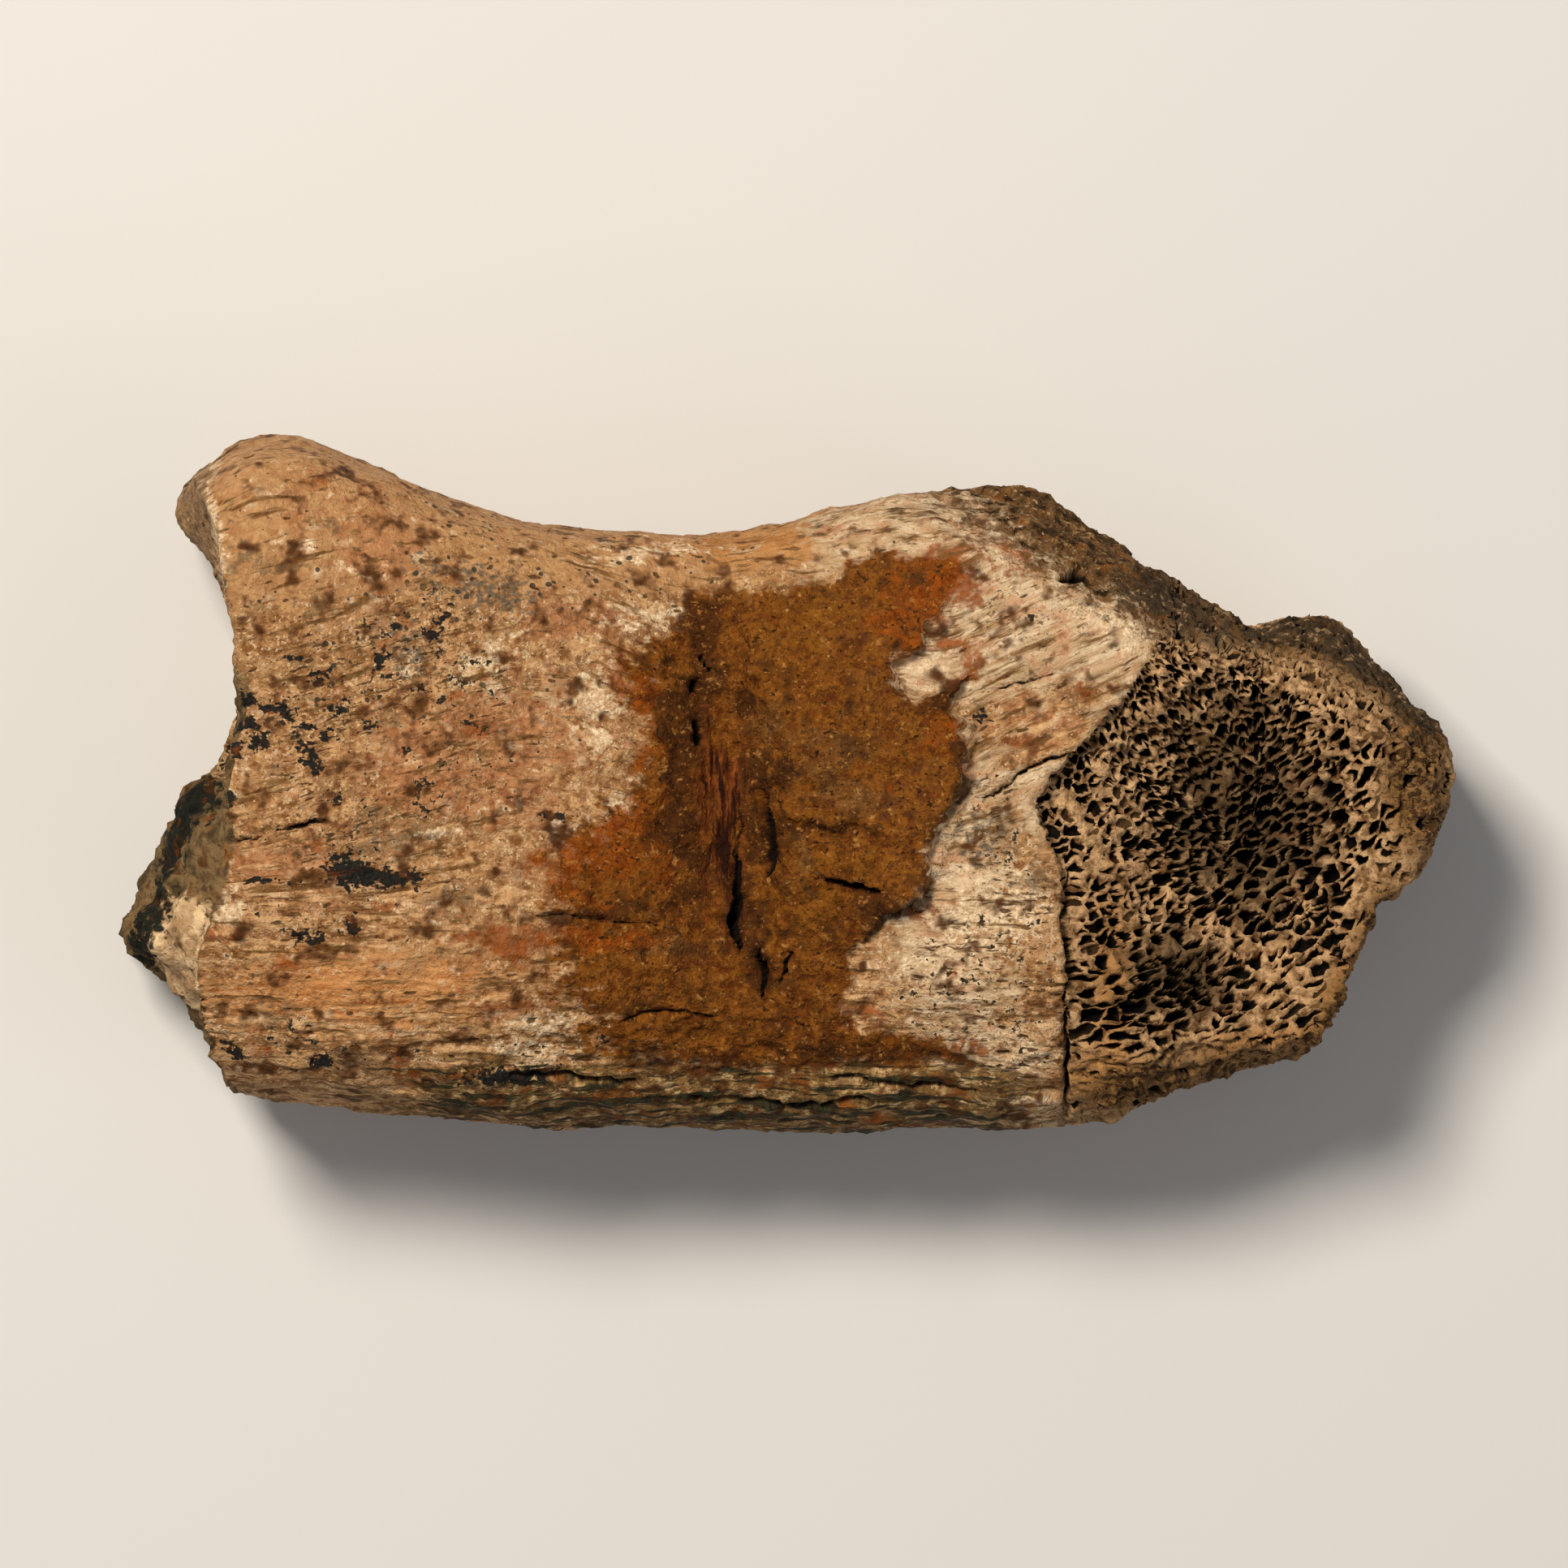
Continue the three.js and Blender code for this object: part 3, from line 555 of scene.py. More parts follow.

# %% [markdown]
# ## Slits
# A slit is a line of points, each with a half width in mm, so it can taper. Its map is how far inside the
# slit a place lies, so one map gives both its depth and its dark colour, which is painted shade. A few added
# sine waves bend the lines a little, because nothing breaks straight.

# %% Slits
SLITS = [
    [(-3.2, -2.6, 0), (-3.5, -5, 0.12), (-3.55, -7.5, 0.28), (-3.6, -9.5, 0.38),
     (-3.5, -11, 0.32), (-3.3, -12.2, 0.1)],
    [(-1.9, -0.4, 0.06), (-1.2, -3.2, 0.22), (-0.9, -5, 0.3), (-1.4, -6.9, 0.12)],
    [(-2.1, -12.4, 0.1), (-1.7, -14.2, 0.24), (-1.45, -16, 0.06)], [(0.3, -12.4, 0.1), (-0.4, -14.6, 0.1)],
    [(2.6, -6.8, 0.04), (4.6, -7.6, 0.2), (7, -8.2, 0.06)],
    [(9.8, -8.6, 0.2), (7.7, -9.6, 0.14), (5.8, -11.6, 0.05)], [(-6.5, 7.6, 0.2), (-6.6, 6.9, 0.24)],
    [(-6.7, 4.4, 0.24), (-6.3, 3.1, 0.26)], [(-6.2, 9.4, 0.12), (-5.6, 8.6, 0.08)],
    [(14.4, 6.8, 0), (17, 7.4, 0.05), (19.7, 7.9, 0)], [(18.2, 9.7, 0), (19, 10.1, 0.08), (19.7, 10.3, 0)],
    [(21, 2.2, 0.04), (18, 1.2, 0.12), (16.4, 0, 0.1), (14.4, -1, 0.05)],
    [(-37.2, -3.6, 0.04), (-35.4, -3, 0.12), (-33.6, -2.6, 0.04)], [(-41, -4.2, 0.06), (-38.4, -3.9, 0.08)],
    [(3.4, -21.6, 0.06), (9, -22.4, 0.14), (14, -22.8, 0.06)],
    [(-7, -23.4, 0.06), (0, -23.8, 0.16), (6, -23.4, 0.06)],
    [(-20, -21.2, 0.1), (-15, -21.8, 0.22), (-11, -22, 0.1)],
    [(20.4, 15, 0.2), (21.5, 15.6, 0.5), (22.2, 15.4, 0.2)],
    [(-12, -17.2, 0.02), (-8.3, -16.9, 0.08), (-5, -17.1, 0.02)],
    [(-18, -9.6, 0), (-13, -9.9, 0.05), (-9, -10.4, 0)],
    # along the fracture's step: its dark groove paints the shadow below the step
    [(20.7, -6, 0), (20.5, -10, 0.1), (20.8, -14, 0.07), (20.5, -18, 0.12),
     (20.8, -22, 0.14), (20.6, -25, 0)],
]


def slit_depth(x, y, line):
    """How far a place lies inside a tapering line, in mm; negative outside."""
    inside = np.full(len(x), -9.0)
    for (*a, a_half), (*b, b_half) in zip(line, line[1:]):
        share, away = nearest_on_segment(x, y, a, b)
        inside = np.maximum(inside, lerp(a_half, b_half, share) - away)
    return inside


slit_x, slit_y = lerp(x, bent_x, 0.5), lerp(y, bent_y, 0.5)
in_slit = np.max([slit_depth(slit_x, slit_y, line) for line in SLITS], axis=0)
maps["slit"] = np.maximum(in_slit, -2) * front_share - 2 * (1 - front_share)
print("slits:", len(SLITS))

# %% [markdown]
# ## Crust, spongy bone and soil
# These maps are distances in mm to the border of a thing, positive inside it. The crust runs over the long
# sides of the bone and ends there in uneven drips; towards the left and on the back it thins out, so its
# border is softer there. The spongy end lies past the fracture, though on the back the hard bone reaches
# further. Soil clings to the worn shoulder. Sine waves keep the borders from running straight.

# %% Where the crust, the spongy bone and the soil lie
CRUST_SIDE = [(-21, 50), (-17, 24), (-9, 15), (-3, 17.5), (3, 13.5), (9, 18), (14, 15), (17.5, 22), (20, 50)]
SPONGE_BACK_X = 44                     # on the back, the hard bone reaches this far
BOWL_UPPER, BOWL_LOWER = ((34, -2), (8, 11)), ((29, -14.5), (6, 4.5))      # places and radii

drip_end = 17.5 - 3 * np.sin(0.31 * x + 1) - 2 * np.sin(0.83 * x) - 1.2 * np.sin(2.1 * x)
side_end = inside_distance(x, z, CRUST_SIDE)
gentle = np.maximum(smoothstep(-x, 6, 12), smoothstep(-w, -0.75, -0.35))
nearest_border = np.minimum(crust, np.minimum((z - drip_end) * 0.5, side_end))
maps["crust"] = np.clip(nearest_border, -20, 6) * (1 - 0.6 * gentle)
maps["soft"] = 0.9 + 0.7 * gentle
wavy_w = w + 0.1 * np.sin(0.55 * y + 1) + 0.07 * np.sin(1.7 * y)
maps["sponge"] = x - lerp(SPONGE_BACK_X, x - past_fracture, smoothstep(wavy_w, -0.15, 0.3))
# bowl: the deep middle of the break; it deepens the pores, and the material paints shade there
maps["bowl"] = np.maximum(patch(x, y, *BOWL_UPPER, 11.5), patch(x, y, *BOWL_LOWER, 10)) * front_share
soil_y = y + (1.4 * np.sin(0.6 * z) + 0.7 * np.sin(1.7 * z)) * smoothstep(-z, -21, -15)
maps["soil"] = inside_distance(x, soil_y, SOIL_OUTLINE) - 10 * smoothstep(-w, 0, 0.7)
print("spongy share of the skin:", round(float((maps["sponge"] > 0).mean()), 2))

# %% [markdown]
# ## Stains and painted shade along the edges
# The saddle edge and the lower part of the left half have the warmest tan. The lower side is darker and
# streaky towards its edge: partly a dark stain, partly painted shade where the underside turns from the
# light. Four tones belong to the crust alone, so their maps end at its border.

# %% Stains and painted shade along the edges
maps["saddle"] = patch(x, y, (-1, 18), (8, 2.4), 4) * front_share
maps["low_orange"] = patch(x, y, (-31, -15.4), (10, 2.6), 3) * front_share
bottom_x = smoothstep(x, -38, -22) * (1 - smoothstep(x, 14, 22))
# darker and streaky towards the lower edge: partly stain, partly painted shade of the underside
maps["bottom"] = smoothstep(-y, 19.4, 21.6) * bottom_x * (0.45 + 0.55 * smoothstep(z, 6, 18))
maps["amber_rim"] = maps["amber"] * smoothstep(past_fracture, -0.4, 0.4)
for name in ("ochre", "umber_and_shade", "burnt", "grey_crust"):
    maps[name] = maps[name] * smoothstep(crust, -0.8, 0.4)
print("lower side's dark stain, greatest value:", maps["bottom"].max().round(2))

# %% [markdown]
# ## The left break
# The left end is a plain, weathered break; its brown is painted darker, partly as shade, because it lies
# lower than the front. Its lower back part stands out and carries a black stripe and a pale facet, and a
# sharp pale rim divides it from the lobe. The narrow facet left of that rim is painted darker too, partly as
# shade, as it tilts away from the light. In the middle of a bone lies its marrow, so a small core of open
# pores shows here too. Added sine waves tear the borders of these areas.

# %% The left break
STRIPE = [
    (-42.4, 0, 0.3), (-43.6, -1.6, 0.9), (-45, -3.6, 0.8), (-45.9, -5.4, 0.7), (-46.4, -7.4, 0.6),
    (-47.2, -9.8, 0.7), (-47.7, -12, 0.6), (-48, -13.6, 0.5),
]
FACET = [
    (-46.9, -11.6), (-45.7, -9.2), (-44.6, -8.7), (-42, -9.6), (-42, -18), (-44.4, -16.6), (-45.8, -14.8),
    (-47, -13.2),
]
LOBE_LINE = [(-42, 27), (-42.3, 24.4), (-41.9, 20), (-41.2, 16.6), (-40.9, 13.4)]
MARROW_CENTRE, MARROW_RADII = (8.5, 13.5), (9, 8)      # of the spongy core, as (y, z)
FAR = 20                                               # mm, stands for nowhere near

on_cap = smoothstep(-box_points[:, 0], 0.992, 1)
torn_y = y + 1.1 * np.sin(0.62 * z + 1) + 0.7 * np.sin(1.55 * z) + 0.4 * np.sin(3.1 * z + y)
torn_z = z + 1.0 * np.sin(0.7 * y) + 0.6 * np.sin(1.7 * y + 2) + 0.4 * np.sin(3.4 * y + z)
maps["broken_left"] = on_cap * (1 - smoothstep(torn_y, 4, 13))
line_x, line_y = np.array(LOBE_LINE[::-1]).T
# lobe_end: the facet left of the lobe line, painted darker partly as shade, as it tilts away from the light
maps["lobe_end"] = np.where(y > 11, np.interp(y, line_y, line_x) - x, -2)
maps["rim_line"] = 0.22 - line_distance(x, y, LOBE_LINE[1:])
maps["stripe"] = slit_depth(dished_x, lerp(y, torn_y, 0.45), STRIPE) - 3 * (1 - on_cap)
maps["stripe"] -= 1.4 * smoothstep(-z, -13, -5)
maps["facet"] = inside_distance(dished_x, y, FACET) - 3 * (1 - on_cap) - 2 * smoothstep(-z, -12, -6)
marrow = 1.7 * patch(torn_y, torn_z, MARROW_CENTRE, MARROW_RADII) - 0.75
marrow = np.where((y > 0) & (on_cap > 0.5), marrow, -FAR)
maps["sponge"] = np.maximum(maps["sponge"], marrow)
print("points on the left break:", int((on_cap > 0.5).sum()))

# %% [markdown]
# ## Pale sheets and fibres
# To the right of the crust the outer sheets of bone are pale, apart from a pinkish patch. Where the surface
# is worn smooth or covered by crust, the fibres hardly show; in the hollow they show most.

# %% Pale sheets and fibres
maps["pale"] = smoothstep(x + 0.2 * y, 3, 8) * front_share * (1 - patch(x, y, (18, 4.4), (6, 3.2), 5))
maps["pale"] *= 1 - 0.8 * smoothstep(x, 14, 17) * smoothstep(-y, 0, 6)
fibrous = 1 - smoothstep(y, -10, -2) * (1 - smoothstep(x, 8, 13))
covered = smoothstep(crust, 0, 1)
maps["fibre"] = 0.6 + 0.4 * fibrous - 0.8 * maps["smooth"] - 0.5 * covered - 0.75 * maps["pale"]
maps["fibre"] = np.clip(maps["fibre"] + 0.8 * maps["slit_wall"], 0.06, 1)
print("maps that follow the form:", ", ".join(list(maps)[len(FRONT_MAPS):]))

# %% [markdown]
# ## The mesh and its stored maps
# Everything so far were arrays of numbers. Now they become a mesh, and each map becomes an attribute on its
# points. Geometry Nodes and the material can both read an attribute by its name, which is what keeps the
# dark colour of a pore exactly where the pore is deep.

# %% Make the mesh
def skin_mesh(name, points, quads, vectors, maps):
    mesh = bpy.data.meshes.new(name)
    mesh.from_pydata(points * MM, [], quads)
    for key, values in vectors.items():
        attribute = mesh.attributes.new(key, "FLOAT_VECTOR", "POINT")
        attribute.data.foreach_set("vector", values.astype(np.float32).ravel())
    for key, values in maps.items():
        attribute = mesh.attributes.new(key, "FLOAT", "POINT")
        attribute.data.foreach_set("value", values.astype(np.float32))
    mesh.update()
    return mesh


vectors = {"place": points, "grain": grain, "flow": flow, "layered": layered}
bone = bpy.data.objects.new("fossil_rib", skin_mesh("fossil_rib", points, quads, vectors, maps))
bpy.context.scene.collection.objects.link(bone)
print("mesh:", len(bone.data.polygons), "quads with", len(vectors) + len(maps), "attributes")

# %% [markdown]
# ## One function for every node
# Node trees get long. One small function adds any node, sets what is constant, links what is a socket, and
# hands back an output, so a tree reads from top to bottom like a recipe. It works in a geometry tree and in
# a material alike, because most texture and math nodes live in both.

# %% Add a node, read the stored maps
def add(tree, kind, out=0, inputs=None, **settings):
    """Adds a node with its settings and links, and gives one of its outputs."""
    node = tree.nodes.new(kind)
    for name, value in settings.items():
        setattr(node, name, value)
    for key, value in (inputs or {}).items():
        if isinstance(value, bpy.types.NodeSocket):
            tree.links.new(value, node.inputs[key])
        else:
            node.inputs[key].default_value = value
    return node.outputs[out]


def read_maps(tree, names):
    """A socket for each of the named maps and sets of directions that are stored on the skin."""
    sockets = {}
    for name in names:
        is_vector = name in vectors
        if tree.bl_idname == "GeometryNodeTree":
            data_type = "FLOAT_VECTOR" if is_vector else "FLOAT"
            named = {"Name": name}
            sockets[name] = add(tree, "GeometryNodeInputNamedAttribute", inputs=named, data_type=data_type)
        else:
            output = "Vector" if is_vector else "Fac"
            sockets[name] = add(tree, "ShaderNodeAttribute", output, attribute_name=name)
    return sockets


print("what a tree can read:", ", ".join([*vectors, *maps]))

# %% [markdown]
# ## Patterns of bone
# Each pattern is a function that adds its nodes to a tree and gives sockets back. The sizes are those of real
# bone, in millimetres. A Voronoi texture divides space into cells: the distance to a cell's edge makes the
# walls of spongy bone, and a cell's own random colour decides which pores are open and which stay filled.
# A noise bends the cells first, because no two pores are alike.

# %% Spongy bone
SPONGY_PORE = (1.45, 0.82, 1.0)        # mm along the flow, across it and in depth
SPONGY_BEND = (1.4, 1.2, 0.8)          # mm, how far a noise bends the cells
BEND_SIZE = 1.2                        # mm, size of the noise that bends cells


def bent_cells(tree, directions, size, bends, detail):
    """Coordinates that count cells of a size in mm, and that a noise bends by up to so many mm."""
    noise = {"Vector": directions, "Scale": 1 / BEND_SIZE, "Detail": detail}
    bend = {0: add(tree, "ShaderNodeTexNoise", "Color", noise), 1: bends, 2: directions}
    bent = add(tree, "ShaderNodeVectorMath", inputs=bend, operation="MULTIPLY_ADD")
    return add(tree, "ShaderNodeVectorMath", inputs={0: bent, 1: size}, operation="DIVIDE")


def spongy_pores(tree, at):
    """1 between the struts and 0 on them, the same for open pores alone, and how deep a pore goes."""
    place = {"Vector": bent_cells(tree, at["flow"], SPONGY_PORE, SPONGY_BEND, 1.0), "Scale": 1}
    edge = add(tree, "ShaderNodeTexVoronoi", "Distance", place, feature="DISTANCE_TO_EDGE")
    colour_of_cell = add(tree, "ShaderNodeTexVoronoi", "Color", place)
    chance = add(tree, "ShaderNodeSeparateXYZ", inputs={0: colour_of_cell})

    solid = {"Vector": at["flow"], "Scale": 1 / 3, "Detail": 1.0}
    solid = add(tree, "ShaderNodeTexNoise", "Fac", solid)
    for name, more in (("bowl", -0.25), ("rim", 0.3)):
        solid = add(tree, "ShaderNodeMath", inputs={0: at[name], 1: more, 2: solid}, operation="MULTIPLY_ADD")
    wall = add(tree, "ShaderNodeMapRange", inputs={"Value": solid, 1: 0.2, 2: 0.8, 3: 0.02, 4: 0.22})
    wall_end = add(tree, "ShaderNodeMath", inputs={0: wall, 1: 0.1}, operation="ADD")
    from_wall = {"Value": edge, 1: wall, 2: wall_end}
    cell = add(tree, "ShaderNodeMapRange", inputs=from_wall, interpolation_type="SMOOTHSTEP")

    shut = 0.05
    for name, more in (("rim", 0.5), ("bowl", -0.2)):
        shut = add(tree, "ShaderNodeMath", inputs={0: at[name], 1: more, 2: shut}, operation="MULTIPLY_ADD")
    shut_end = add(tree, "ShaderNodeMath", inputs={0: shut, 1: 0.25}, operation="ADD")
    opened = add(tree, "ShaderNodeMapRange", inputs={"Value": chance, 1: shut, 2: shut_end, 3: 0.2})
    depth = add(tree, "ShaderNodeMapRange", inputs={"Value": at["bowl"], 1: 0, 2: 0.6, 3: 0.5, 4: 1})
    hole = add(tree, "ShaderNodeMath", inputs={0: cell, 1: opened}, operation="MULTIPLY")
    return cell, hole, add(tree, "ShaderNodeMath", inputs={0: hole, 1: depth}, operation="MULTIPLY")


print("cells of spongy bone, mm:", SPONGY_PORE)

# %% [markdown]
# Hard bone isn't solid either. Small canals for blood vessels open on its surface as short dark slots that
# lie along the grain. Each Voronoi cell is stretched along the grain and holds one slot, and the cell's
# random colour leaves most of them out, though fewer near the spongy end. Fibres are a noise drawn out
# along the grain ten times.

# %% Canals and fibres of hard bone
CANAL_CELL = (1.5, 0.5, 0.5)           # mm along the grain, across it and in depth
CANAL_BEND = (0.8, 0.5, 0.5)           # mm
FIBRE = (5.0, 0.5, 0.5)


def canals(tree, at):
    cells = bent_cells(tree, at["grain"], CANAL_CELL, CANAL_BEND, 0.0)
    to_middle = add(tree, "ShaderNodeTexVoronoi", "Distance", {"Vector": cells, "Scale": 1})
    chance = add(tree, "ShaderNodeSeparateXYZ", inputs={0: to_middle.node.outputs["Color"]})
    size = add(tree, "ShaderNodeMapRange", inputs={"Value": chance.node.outputs[1], 3: 0.12, 4: 0.4})
    size_end = add(tree, "ShaderNodeMath", inputs={0: size, 1: 0.5}, operation="MULTIPLY")
    slot = add(tree, "ShaderNodeMapRange", inputs={"Value": to_middle, 1: size, 2: size_end})
    near = add(tree, "ShaderNodeMapRange", inputs={"Value": at["sponge"], 1: -12, 2: 0, 3: 0, 4: 0.3})
    on_pale = add(tree, "ShaderNodeMath", inputs={0: near, 1: at["pale"]}, operation="MULTIPLY")
    share = add(tree, "ShaderNodeMath", inputs={0: near, 1: on_pale}, operation="SUBTRACT")
    least = add(tree, "ShaderNodeMath", inputs={0: 0.935, 1: share}, operation="SUBTRACT")
    kept = add(tree, "ShaderNodeMath", inputs={0: chance, 1: least}, operation="GREATER_THAN")
    return add(tree, "ShaderNodeMath", inputs={0: slot, 1: kept}, operation="MULTIPLY")


def fibres(tree, at):
    stretched = add(tree, "ShaderNodeVectorMath", inputs={0: at["grain"], 1: FIBRE}, operation="DIVIDE")
    fine = {"Vector": stretched, "Scale": 1, "Detail": 5.0, "Roughness": 0.62}
    return add(tree, "ShaderNodeTexNoise", "Fac", fine)


print("cells of the canals, mm:", CANAL_CELL, "and fibres, mm:", FIBRE)

# %% [markdown]
# ## Relief as real geometry
# A bump map would fool the eye only from straight ahead, and it is lost when the mesh is used elsewhere. So
# the relief moves the skin itself: Geometry Nodes adds up the heights of all patterns, in millimetres, and
# shifts every point along its normal. Pores go down, fibres ripple, and cracks cut deep. First, the maps
# become soft steps from 0 to 1, so that each pattern acts on its own ground alone.

# %% Where the relief acts
relief = bpy.data.node_groups.new("weathered_relief", "GeometryNodeTree")
for in_out in ("INPUT", "OUTPUT"):
    relief.interface.new_socket("Geometry", in_out=in_out, socket_type="NodeSocketGeometry")

on_skin = read_maps(relief, [*vectors, *maps])
pore_depth = spongy_pores(relief, on_skin)[-1]
FADES = {                               # map, and the two values between which the thing begins
    "sponge": (-0.2, 0.6), "crust": (-0.3, 0.4), "slit": (-0.14, 0.14), "soil": (-0.3, 1),
}
inside = {}
for name, (low, high) in FADES.items():
    fade = {"Value": on_skin[name], 1: low, 2: high}
    inside[name] = add(relief, "ShaderNodeMapRange", inputs=fade, interpolation_type="SMOOTHSTEP")
on_compact = add(relief, "ShaderNodeMath", inputs={0: 1, 1: inside["sponge"]}, operation="SUBTRACT")
off_crust = add(relief, "ShaderNodeMath", inputs={0: 1, 1: inside["crust"]}, operation="SUBTRACT")
rough_here = add(relief, "ShaderNodeMapRange", inputs={"Value": on_skin["smooth"], 1: 0, 2: 1, 3: 1, 4: 0.25})
print("kinds of ground:", ", ".join(inside))

# %% [markdown]
# The heights are summed in one long chain. Each noise in the list has a size and a height in millimetres and
# a place where it acts. After the noises come the fibres, and then what cuts into the bone: canals, pores
# and slits.

# %% Sum up the heights
NOISE_RELIEFS = [                       # directions, size in mm, height in mm, where
    ("place", 8.0, 2.0, 1.0), ("place", 2.6, 1.0, rough_here), ("place", 0.9, 0.4, rough_here),
    ("place", 1.3, 0.8, inside["sponge"]), ("place", 0.8, 0.6, inside["crust"]),
    ("place", 1.8, 1.3, inside["crust"]), ("place", 2.4, 1.4, inside["soil"]),
    ("place", 0.9, 0.45, inside["soil"]), ("place", 3.5, 3, on_skin["broken_left"]),
    ("layered", 1.0, 2.4, on_skin["jagged"]),
]
height = 0.0
for lie, size, rise, where in NOISE_RELIEFS:
    wave = {"Vector": on_skin[lie], "Scale": 1 / size, "Detail": 3.0}
    wave = add(relief, "ShaderNodeTexNoise", "Fac", wave)
    wave = add(relief, "ShaderNodeMath", inputs={0: wave, 1: 0.5}, operation="SUBTRACT")
    wave = add(relief, "ShaderNodeMath", inputs={0: wave, 1: where}, operation="MULTIPLY")
    height = add(relief, "ShaderNodeMath", inputs={0: wave, 1: rise, 2: height}, operation="MULTIPLY_ADD")

ripple = add(relief, "ShaderNodeMath", inputs={0: fibres(relief, on_skin), 1: 0.5}, operation="SUBTRACT")
ripple = add(relief, "ShaderNodeMath", inputs={0: ripple, 1: on_skin["fibre"]}, operation="MULTIPLY")
slots = canals(relief, on_skin)
for where in (off_crust, on_compact):
    slots = add(relief, "ShaderNodeMath", inputs={0: slots, 1: where}, operation="MULTIPLY")
deep_pores = add(relief, "ShaderNodeMath", inputs={0: pore_depth, 1: inside["sponge"]}, operation="MULTIPLY")
for part, rise in ((ripple, 1.1), (slots, -0.3), (deep_pores, -1.7), (inside["slit"], -1.4)):
    height = add(relief, "ShaderNodeMath", inputs={0: part, 1: rise, 2: height}, operation="MULTIPLY_ADD")
print("noises in the relief:", len(NOISE_RELIEFS))

# %% [markdown]
# One node moves every point along its normal by the summed height. The finished node tree becomes a modifier
# of the bone.

# %% Move the skin
skin_in = add(relief, "NodeGroupInput")
metres = add(relief, "ShaderNodeMath", inputs={0: height, 1: MM}, operation="MULTIPLY")
normal = add(relief, "GeometryNodeInputNormal")
offset = add(relief, "ShaderNodeVectorMath", inputs={0: normal, "Scale": metres}, operation="SCALE")
moved = add(relief, "GeometryNodeSetPosition", inputs={"Geometry": skin_in, "Offset": offset})
skin_out = relief.nodes.new("NodeGroupOutput")
relief.links.new(moved, skin_out.inputs[0])
bone.modifiers.new("relief", "NODES").node_group = relief
print("relief:", len(relief.nodes), "nodes")

# %% [markdown]
# ## Spend triangles where the detail is
# The skin now has far more squares than a shared part should. Decimate removes points where the surface is
# nearly flat and keeps them along pore rims and cracks. The modifiers are applied, the lowest points are
# pressed flat on the table, and the result is fitted to the frame's box, which it misses by a hair.

# %% Reduce, flatten the underside, fit
MOST_TRIANGLES = 196_000
HAIR = 0.02 * MM                       # gap that is left to the frame's box


def apply_modifiers(piece):
    depsgraph = bpy.context.evaluated_depsgraph_get()
    done = piece.evaluated_get(depsgraph)
    mesh = bpy.data.meshes.new_from_object(done, preserve_all_data_layers=True, depsgraph=depsgraph)
    piece.modifiers.clear()
    piece.data = mesh
    return mesh


def triangle_count(mesh):
    return sum(len(face.vertices) - 2 for face in mesh.polygons)


dense = apply_modifiers(bone)
decimate = bone.modifiers.new("reduce", "DECIMATE")
decimate.ratio = MOST_TRIANGLES / triangle_count(dense)
decimate.use_collapse_triangulate = True
mesh = apply_modifiers(bone)

corners = np.empty(len(mesh.vertices) * 3)
mesh.vertices.foreach_get("co", corners)
corners = corners.reshape(-1, 3)
corners[:, 2] = np.maximum(corners[:, 2], 0)
low, high = corners.min(axis=0), corners.max(axis=0)
fit = (cad_high - cad_low - 2 * HAIR) / (high - low)
corners = (corners - low) * fit + cad_low + HAIR
corners[:, 2] -= HAIR
mesh.vertices.foreach_set("co", corners.ravel())
mesh.shade_smooth()
mesh.update()
print("triangles:", triangle_count(mesh), "fit to the frame:", fit.round(4))

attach(bone, "root")
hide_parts("rib_bone")

# %% [markdown]
# ## Fossil bone as a stack of layers
# Mineralised bone is a matt stone, made as minerals filled the bone's pores in the ground, and many of them
# show side by side. The material is built as a stack: the tan of mineralised bone lies at the bottom, and
# each layer covers a part of what is below it. A layer has a dark and a light colour and a map that says
# where it lies. A noise is added to the map before its edge is cut, which makes the edge ragged, as stains
# and crusts are. The noises come in six sizes, and the colour of each gives three independent patterns.

# %% The material and its noises
stone = bpy.data.materials.new("mineralised_bone")
stone.use_nodes = True
tree = stone.node_tree
tree.nodes.clear()

NOISES = {                              # directions, size in mm along the three, detail, contrast
    "mid": ("place", (2, 2, 2), 2, 4), "small": ("place", (0.9, 0.9, 0.9), 3, 4),
    "fine": ("place", (0.3, 0.3, 0.3), 1, 3.5), "blot": ("place", (0.55, 0.45, 0.5), 2, 4),
    "streak": ("grain", (6, 0.7, 0.7), 3, 4), "dash": ("grain", (1.6, 0.36, 0.36), 2, 4),
}
stored = ["place", "grain", "flow", "bowl", "rim", "sponge", "pale", "crust", "soft", "soil", "speckle"]
masks = read_maps(tree, stored)
masks["everywhere"] = 0.0
for name, (directions, sizes, detail, contrast) in NOISES.items():
    scaled = add(tree, "ShaderNodeVectorMath", inputs={0: masks[directions], 1: sizes}, operation="DIVIDE")
    noise = {"Vector": scaled, "Scale": 1, "Detail": detail, "Roughness": 0.65}
    patterns = add(tree, "ShaderNodeTexNoise", "Color", noise)
    spread = {0: patterns, 1: (contrast,) * 3, 2: (0.5 - contrast / 2,) * 3}
    spread = add(tree, "ShaderNodeVectorMath", inputs=spread, operation="MULTIPLY_ADD")
    for letter, channel in zip("abc", add(tree, "ShaderNodeSeparateXYZ", inputs={0: spread}).node.outputs):
        masks[name + "_" + letter] = channel
print("noises:", len(NOISES), "patterns:", 3 * len(NOISES))

# %% [markdown]
# ## Masks for pores, crust and specks
# Some layers need more than a stored map. The pores and canals are drawn by the functions that drew their
# relief, so colour and depth agree. The crust's border wanders with a noise. Specks and painted glints are
# dots in the middle of Voronoi cells: a cell's random colour sets how large its dot is, if it has one at all.

# %% Masks for pores, crust and specks
cell, hole, _ = spongy_pores(tree, masks)
in_sponge = add(tree, "ShaderNodeMapRange", inputs={"Value": masks["sponge"], 1: -0.2, 2: 0.4})
masks["in_cell"] = add(tree, "ShaderNodeMath", inputs={0: cell, 1: in_sponge}, operation="MULTIPLY")
masks["in_hole"] = add(tree, "ShaderNodeMath", inputs={0: hole, 1: in_sponge}, operation="MULTIPLY")
masks["slots"] = canals(tree, masks)

